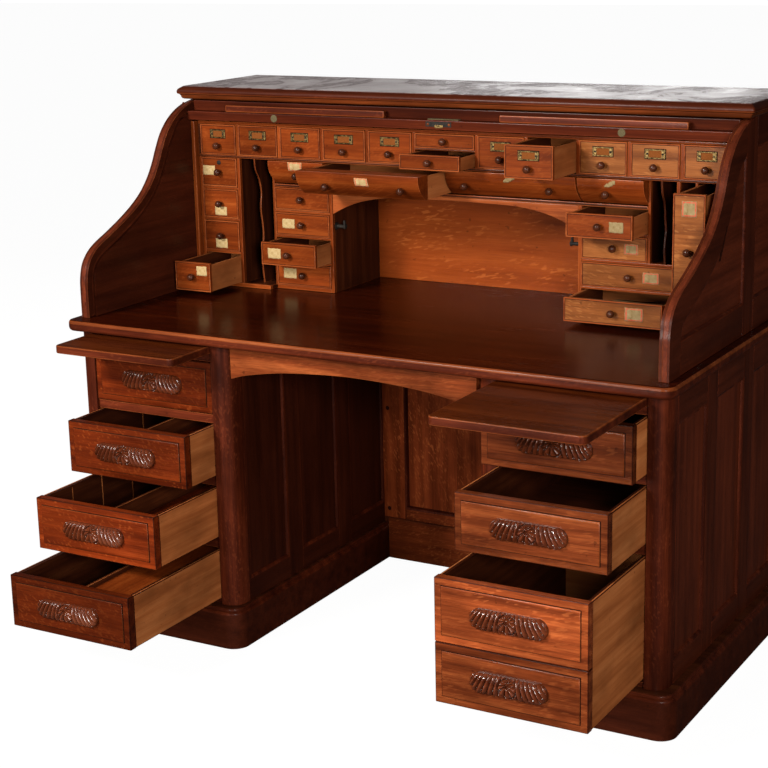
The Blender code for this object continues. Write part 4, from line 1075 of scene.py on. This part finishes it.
def large_drawer(name, side, z, extension, fronts, parting=None):
    """A pedestal drawer; fronts are the low and high ends and the shade of each panelled front on it."""
    x = tuple(sorted(side * v for v in PEDESTAL_X))
    key = "front" if side < 0 else "front_brown"
    with Piece(name + "_front", name, name, slot="drawer_oak") as p:
        for low, high, shade in fronts:
            gaps = (0.0 if low == z[0] else 0.0005, 0.0 if high == z[1] else 0.0005)
            pedestal_front(p, x, -extension, (low + gaps[0], high - gaps[1]), shade, key)
    with Piece(name + "_box", name, slot="drawer_oak") as p:
        tray(p, (x[0] + 0.001, x[1] - 0.001), (0.024 - extension, 0.64 - extension), (z[0] + 0.0005, z[1] - 0.0018),
             0.012, 0.01, 0.0018, parting, "edge_dark")
    for i, (low, high, _) in enumerate(fronts):
        tag = f"_{i + 1}" if len(fronts) > 1 else ""
        carved_pull(f"{name}_carved_pull{tag}", name, (x[0] + x[1]) / 2, -extension, (low + high) / 2)


def writing_slide(name, side, extension):
    low, high = sorted((0.3672 * side, 0.7048 * side))
    steps = [(0.0022, 0.7158), (0.0006, 0.7166), (0.0, 0.718), (0.0, 0.7318), (0.0008, 0.7336), (0.0028, 0.7345)]
    loops = [[(a, b - extension, z) for a, b in rounded_front(low, high, 0.004, 0.5, 0.014, inset, 6)]
             for inset, z in steps]
    with Piece(name + "_board", name, name, slot="drawer_oak") as p:
        p.loft(loops, ["case", "edge_red", "case_red", "edge_red", "edge_red"], "x", 0.0, cap_keys=("case", "slide"))


def gallery_drawers():
    cells = ((0.088, 0.2085), (0.2165, 0.338), (0.346, 0.463), (0.471, 0.588), (COLUMN_IN, SIDE_IN))
    card = {"knobs": ((0.5, 0.3),), "holder": True}
    row = (SHELF[1], ROW_TOP)
    for i, (a, b) in enumerate(reversed(cells)):
        small_drawer(f"card_drawer_{i + 1:02d}", (-b, -a), row, ROW_FRONT, **card)
    for i, x in enumerate(cells):
        small_drawer(f"card_drawer_{i + 6:02d}", x, row, ROW_FRONT, 0.123 if i == 1 else 0.0,
                     key="gallery_gold" if i > 1 else "gallery", **card)
    small_drawer("centre_drawer_upper", (-CENTRE_HALF, CENTRE_HALF), (1.146, 1.1825), ROW_FRONT)
    small_drawer("centre_drawer_lower", (-CENTRE_HALF, CENTRE_HALF), (1.1045, 1.142), ROW_FRONT, 0.077)
    column = (((1.023, 1.098), 0.0, (0.2, 0.55, 0.038, 0.024, False)),
              ((0.942, 1.017), 0.0, (0.5, 0.24, 0.036, 0.022, False)),
              ((0.857, 0.936), 0.0, (0.48, 0.24, 0.036, 0.024, False)),
              ((FLOOR, 0.851), 0.136, (0.76, 0.72, 0.031, 0.024, False)))
    for i, (z, out, note) in enumerate(column):
        small_drawer(f"column_drawer_{i + 1}", (-SIDE_IN, -COLUMN_IN), z, ROW_FRONT, out, note=note)
    coves = (((-STACK_OUT, -0.34), 0.0, (0.5,), (0.5, 0.8, 0.04, 0.022, True, 0.0)),
             ((-0.338, -0.001), 0.128, (0.24, 0.856), (0.54, 0.66, 0.036, 0.02, True, 0.0)),
             ((0.001, 0.338), 0.0, (0.15, 0.804), (0.5, 0.8, 0.03, 0.018, False, 0.75)),
             ((0.34, STACK_OUT_RIGHT), 0.0, (0.43,), (0.5, 0.82, 0.026, 0.016, False, 0.75)))
    for i, cove in enumerate(coves):
        cove_drawer(f"cove_drawer_{i + 1}", *cove)
    levels = ((0.9695, 1.027), (0.9045, 0.9635), (0.8395, 0.8985), (FLOOR, 0.8335))
    left = ((0.0, None), (0.0, (0.24, 0.52, 0.036, 0.024, False)), (0.07, (0.24, 0.52, 0.038, 0.026, False)),
            (0.0, (0.24, 0.55, 0.038, 0.026, False)))
    right = ((STACK_OUT_RIGHT, 0.09, (0.76, 0.5, 0.034, 0.024, False), "gallery"),
             (STACK_OUT_RIGHT, 0.0, (0.76, 0.5, 0.034, 0.024, True), "gallery_gold"),
             (WIDE_OUT, 0.0, (0.72, 0.52, 0.04, 0.026, True), "gallery_gold"),
             (WIDE_OUT, 0.1, (0.72, 0.52, 0.044, 0.03, True), "gallery_gold"))
    for i, (z, (out, note)) in enumerate(zip(levels, left)):
        small_drawer(f"stack_left_{i + 1}", (-STACK_OUT, -STACK_IN), z, STACK_FRONT, out, deep=0.222, note=note)
    for i, (z, (end, out, note, key)) in enumerate(zip(levels, right)):
        small_drawer(f"stack_right_{i + 1}", (STACK_IN, end), z, STACK_FRONT, out, deep=0.222, note=note, key=key)
    small_drawer("tall_drawer", (0.63, SIDE_IN), (FLOOR, 1.098), ROW_FRONT, 0.152, ((0.5, 0.61),),
                 note=(0.5, 0.9, 0.034, 0.034, True), key="gallery_gold")


def pedestal_drawers():
    left = ((0.0, -1.5, None), (0.1165, -2.0, (0.6, 0.6, (0.4,))),
            (0.247, 0.5, (0.6, 0.55, (0.15, 0.33, 0.52))), (0.354, -3.3, (0.58, 0.9, ())))
    right = ((0.078, -1.8, None), (0.2, -1.3, None))
    for label_, side, drawers in (("left", -1, left), ("right", 1, right)):
        for i, (out, shade, parting) in enumerate(drawers, 1):
            z = DRAWER_Z[i]
            large_drawer(f"pedestal_drawer_{label_}_{i}", side, z, out, [(*z, shade)], parting)
    low, middle, high = 0.1205, 0.2535, DRAWER_Z[3][1]
    large_drawer("pedestal_drawer_right_3", 1, (low, high), 0.292, [(low, middle, -0.5), (middle, high, 4.8)])


# ---------------------------------------------------------------- tambour and fittings

CURTAIN_HALF, TONGUE, CANVAS_HALF = 0.7222, 0.7288, 0.7
CURTAIN = (-CURTAIN_HALF, CURTAIN_HALF)
DROP_Y, DROP_LOW, DROP_HIGH = BEND_Y + BEND_R, 0.784, 1.1635


def slats(p, start, step, count, place, last_tongue=math.inf):
    """Slats side by side. place gives a slat's y and z from its span along the run and its span in thickness."""
    for i in range(count):
        low = start + i * step
        high = low + step
        y, z = place((low + 0.0006, high - 0.0006), (-0.0032, 0.004))
        p.board(CURTAIN, y, z, "case_red", "x", "edge_red", 0.0022)
        if high < last_tongue:
            y, z = place((low + 0.002, high - 0.002), (-0.003, 0.003))
            p.board((-TONGUE, TONGUE), y, z, "side", "x")


def tambour():
    with Piece("lift_rail_board", "tambour_lift_rail", "tambour_lift_rail", slot="tambour_oak") as p:
        p.board(CURTAIN, (0.447, 0.505), (1.1945, 1.2165), "rail", "x", "case_red", 0.0022)
        p.board(CURTAIN, (0.476, 0.488), (1.2155, 1.241), "rail", "x", "case_red", 0.0022)
        for side in (-1, 1):
            p.board((side * 0.7215, side * TONGUE), (0.47, 0.503), (RUN_Z - 0.004, RUN_Z + 0.004), "side", "x")
    with Piece("lift_rail_finger_strips", "tambour_lift_rail", slot="tambour_oak") as p:
        for side in (-1, 1):
            p.board((side * 0.153, side * 0.612), (0.457, 0.472), (1.216, 1.233), "case_red", "x", "edge_red",
                    0.003, 1.5)
    with Piece("lift_rail_lock_plate", "tambour_lift_rail") as p:
        p.board((-0.034, 0.034), (0.4464, 0.448), (1.2015, 1.214), "iron", "x", round_edge=0.0004)
        p.board((-0.01, 0.012), (0.446, 0.448), (1.199, 1.206), "brass", "x", round_edge=0.0004)
        screw = [(0.003, -0.001), (0.003, 0.0004), (0.0022, 0.001), (0.0004, 0.0012)]
        for x in (-0.028, 0.028):
            p.turned((x, 0.4464, 1.2075), screw, "edge_red", 14)
        p.board((-0.036, 0.046), (0.46, 0.4745), (1.216, 1.2185), "felt", "x", round_edge=0.0006)

    with Piece("tambour_top_slats", "tambour_top_run", "tambour_top_run", slot="tambour_oak") as p:
        slats(p, 0.507, 0.0215, 10, lambda along, thick: (along, tuple(RUN_Z + t for t in thick)))
    with Piece("tambour_top_canvas", "tambour_top_run") as p:
        p.board((-CANVAS_HALF, CANVAS_HALF), (0.5072, 0.7218), (RUN_Z - 0.004, RUN_Z - 0.0031), "canvas", "x",
                round_edge=0.0002)
    with Piece("tambour_bend_slats", "tambour_bend", "tambour_bend", slot="tambour_oak") as p:
        for i in range(3):
            low, high = (math.radians(1 + 88 * k / 3) for k in (i, i + 1))
            gap = math.radians(0.8)
            turn = [low + gap + (high - low - 2 * gap) * (k / 6) for k in range(7)]
            ring = [(BEND_Y + r * math.cos(a), RUN_Z - BEND_R + r * math.sin(a))
                    for r, angles in ((BEND_R + 0.004, turn), (BEND_R - 0.0035, turn[::-1])) for a in angles]
            p.prism(ring, "x", *CURTAIN, "case_red", "x", "edge_red", 0.0018, None, 40)
    with Piece("tambour_back_slats", "tambour_back_run", "tambour_back_run", slot="tambour_oak") as p:
        slats(p, DROP_LOW, (DROP_HIGH - DROP_LOW) / 18, 18,
              lambda along, thick: (tuple(DROP_Y + t for t in thick), along), 1.13)
    with Piece("tambour_back_canvas", "tambour_back_run") as p:
        p.board((-CANVAS_HALF, CANVAS_HALF), (DROP_Y - 0.004, DROP_Y - 0.0031), (DROP_LOW + 0.001, DROP_HIGH - 0.001),
                "canvas", "z", round_edge=0.0002)


def fittings():
    """Felt discs on the lift rail, hooks in the recess, a metal disc, papers and strips beside the gallery."""
    felt = [(0.0092, -0.002), (0.0092, 0.0004), (0.008, 0.0009), (0.0004, 0.0009)]
    with Piece("lift_rail_felt_discs", "tambour_lift_rail") as p:
        for side in (-1, 1):
            p.turned((side * 0.46, 0.447, 1.2055), felt, "felt", 28)
    hook = [(0.01, -0.001), (0.01, 0.0018), (0.005, 0.004), (0.0042, 0.02), (0.0064, 0.024), (0.0064, 0.0275),
            (0.0015, 0.03)]
    with Piece("recess_hooks", CASE) as p:
        for side in (-1, 1):
            p.turned((side * 0.3332, 0.522, 0.934), hook, "iron", 16, (-side, 0, 0), "x")
            p.board((side * 0.3065, side * 0.3125), (0.5182, 0.5258), (0.932, 0.95), "iron", "z", round_edge=0.0022)
    disc = [(0.0058, -0.0005), (0.0058, 0.0012), (0.004, 0.0019), (0.0006, 0.002)]
    with Piece("column_drawer_1_disc", "column_drawer_1") as p:
        p.turned((-0.65, ROW_FRONT + FACE_SET, 1.085), disc, "iron", 20)
    leaf = [(0.418, 0.418, 0.8225), (0.575, 0.414, 0.8235), (0.575, 0.545, 0.806), (0.418, 0.548, 0.805)]
    with Piece("stack_right_4_papers", "stack_right_4", sheet=(0.0006, -1.0)) as p:
        p.add(leaf, [(0, 1, 2, 3)], ["paper"], "x", 0.0, [(0, 0, 0), (1, 0, 0), (1, 1, 0), (0, 1, 0)])
    with Piece("gallery_end_strips", CASE, slot="gallery_oak") as p:
        for side in (-1, 1):
            p.board((side * 0.7124, side * 0.7226), (0.46, 0.478), (UPPER_BASE + 0.0005, 1.189), "gallery", "z",
                    EDGE, 0.0022, 0.8)


def main():
    make_camera()
    make_studio()
    crown()
    for side, label_ in ((-1, "left"), (1, "right")):
        upper_end(side, label_)
        plinth(side, label_)
        pedestal_side(side, label_, True)
        pedestal_side(side, label_, False)
        pedestal_frame(side, label_, RAIL_Z if side < 0 else [RAIL_Z[0]] + RAIL_Z[2:])
    upper_back()
    writing_top()
    kneehole()
    gallery_top()
    gallery_cases()
    gallery_drawers()
    pedestal_drawers()
    writing_slide("writing_slide_left", -1, 0.15)
    writing_slide("writing_slide_right", 1, 0.316)
    tambour()
    fittings()


main()
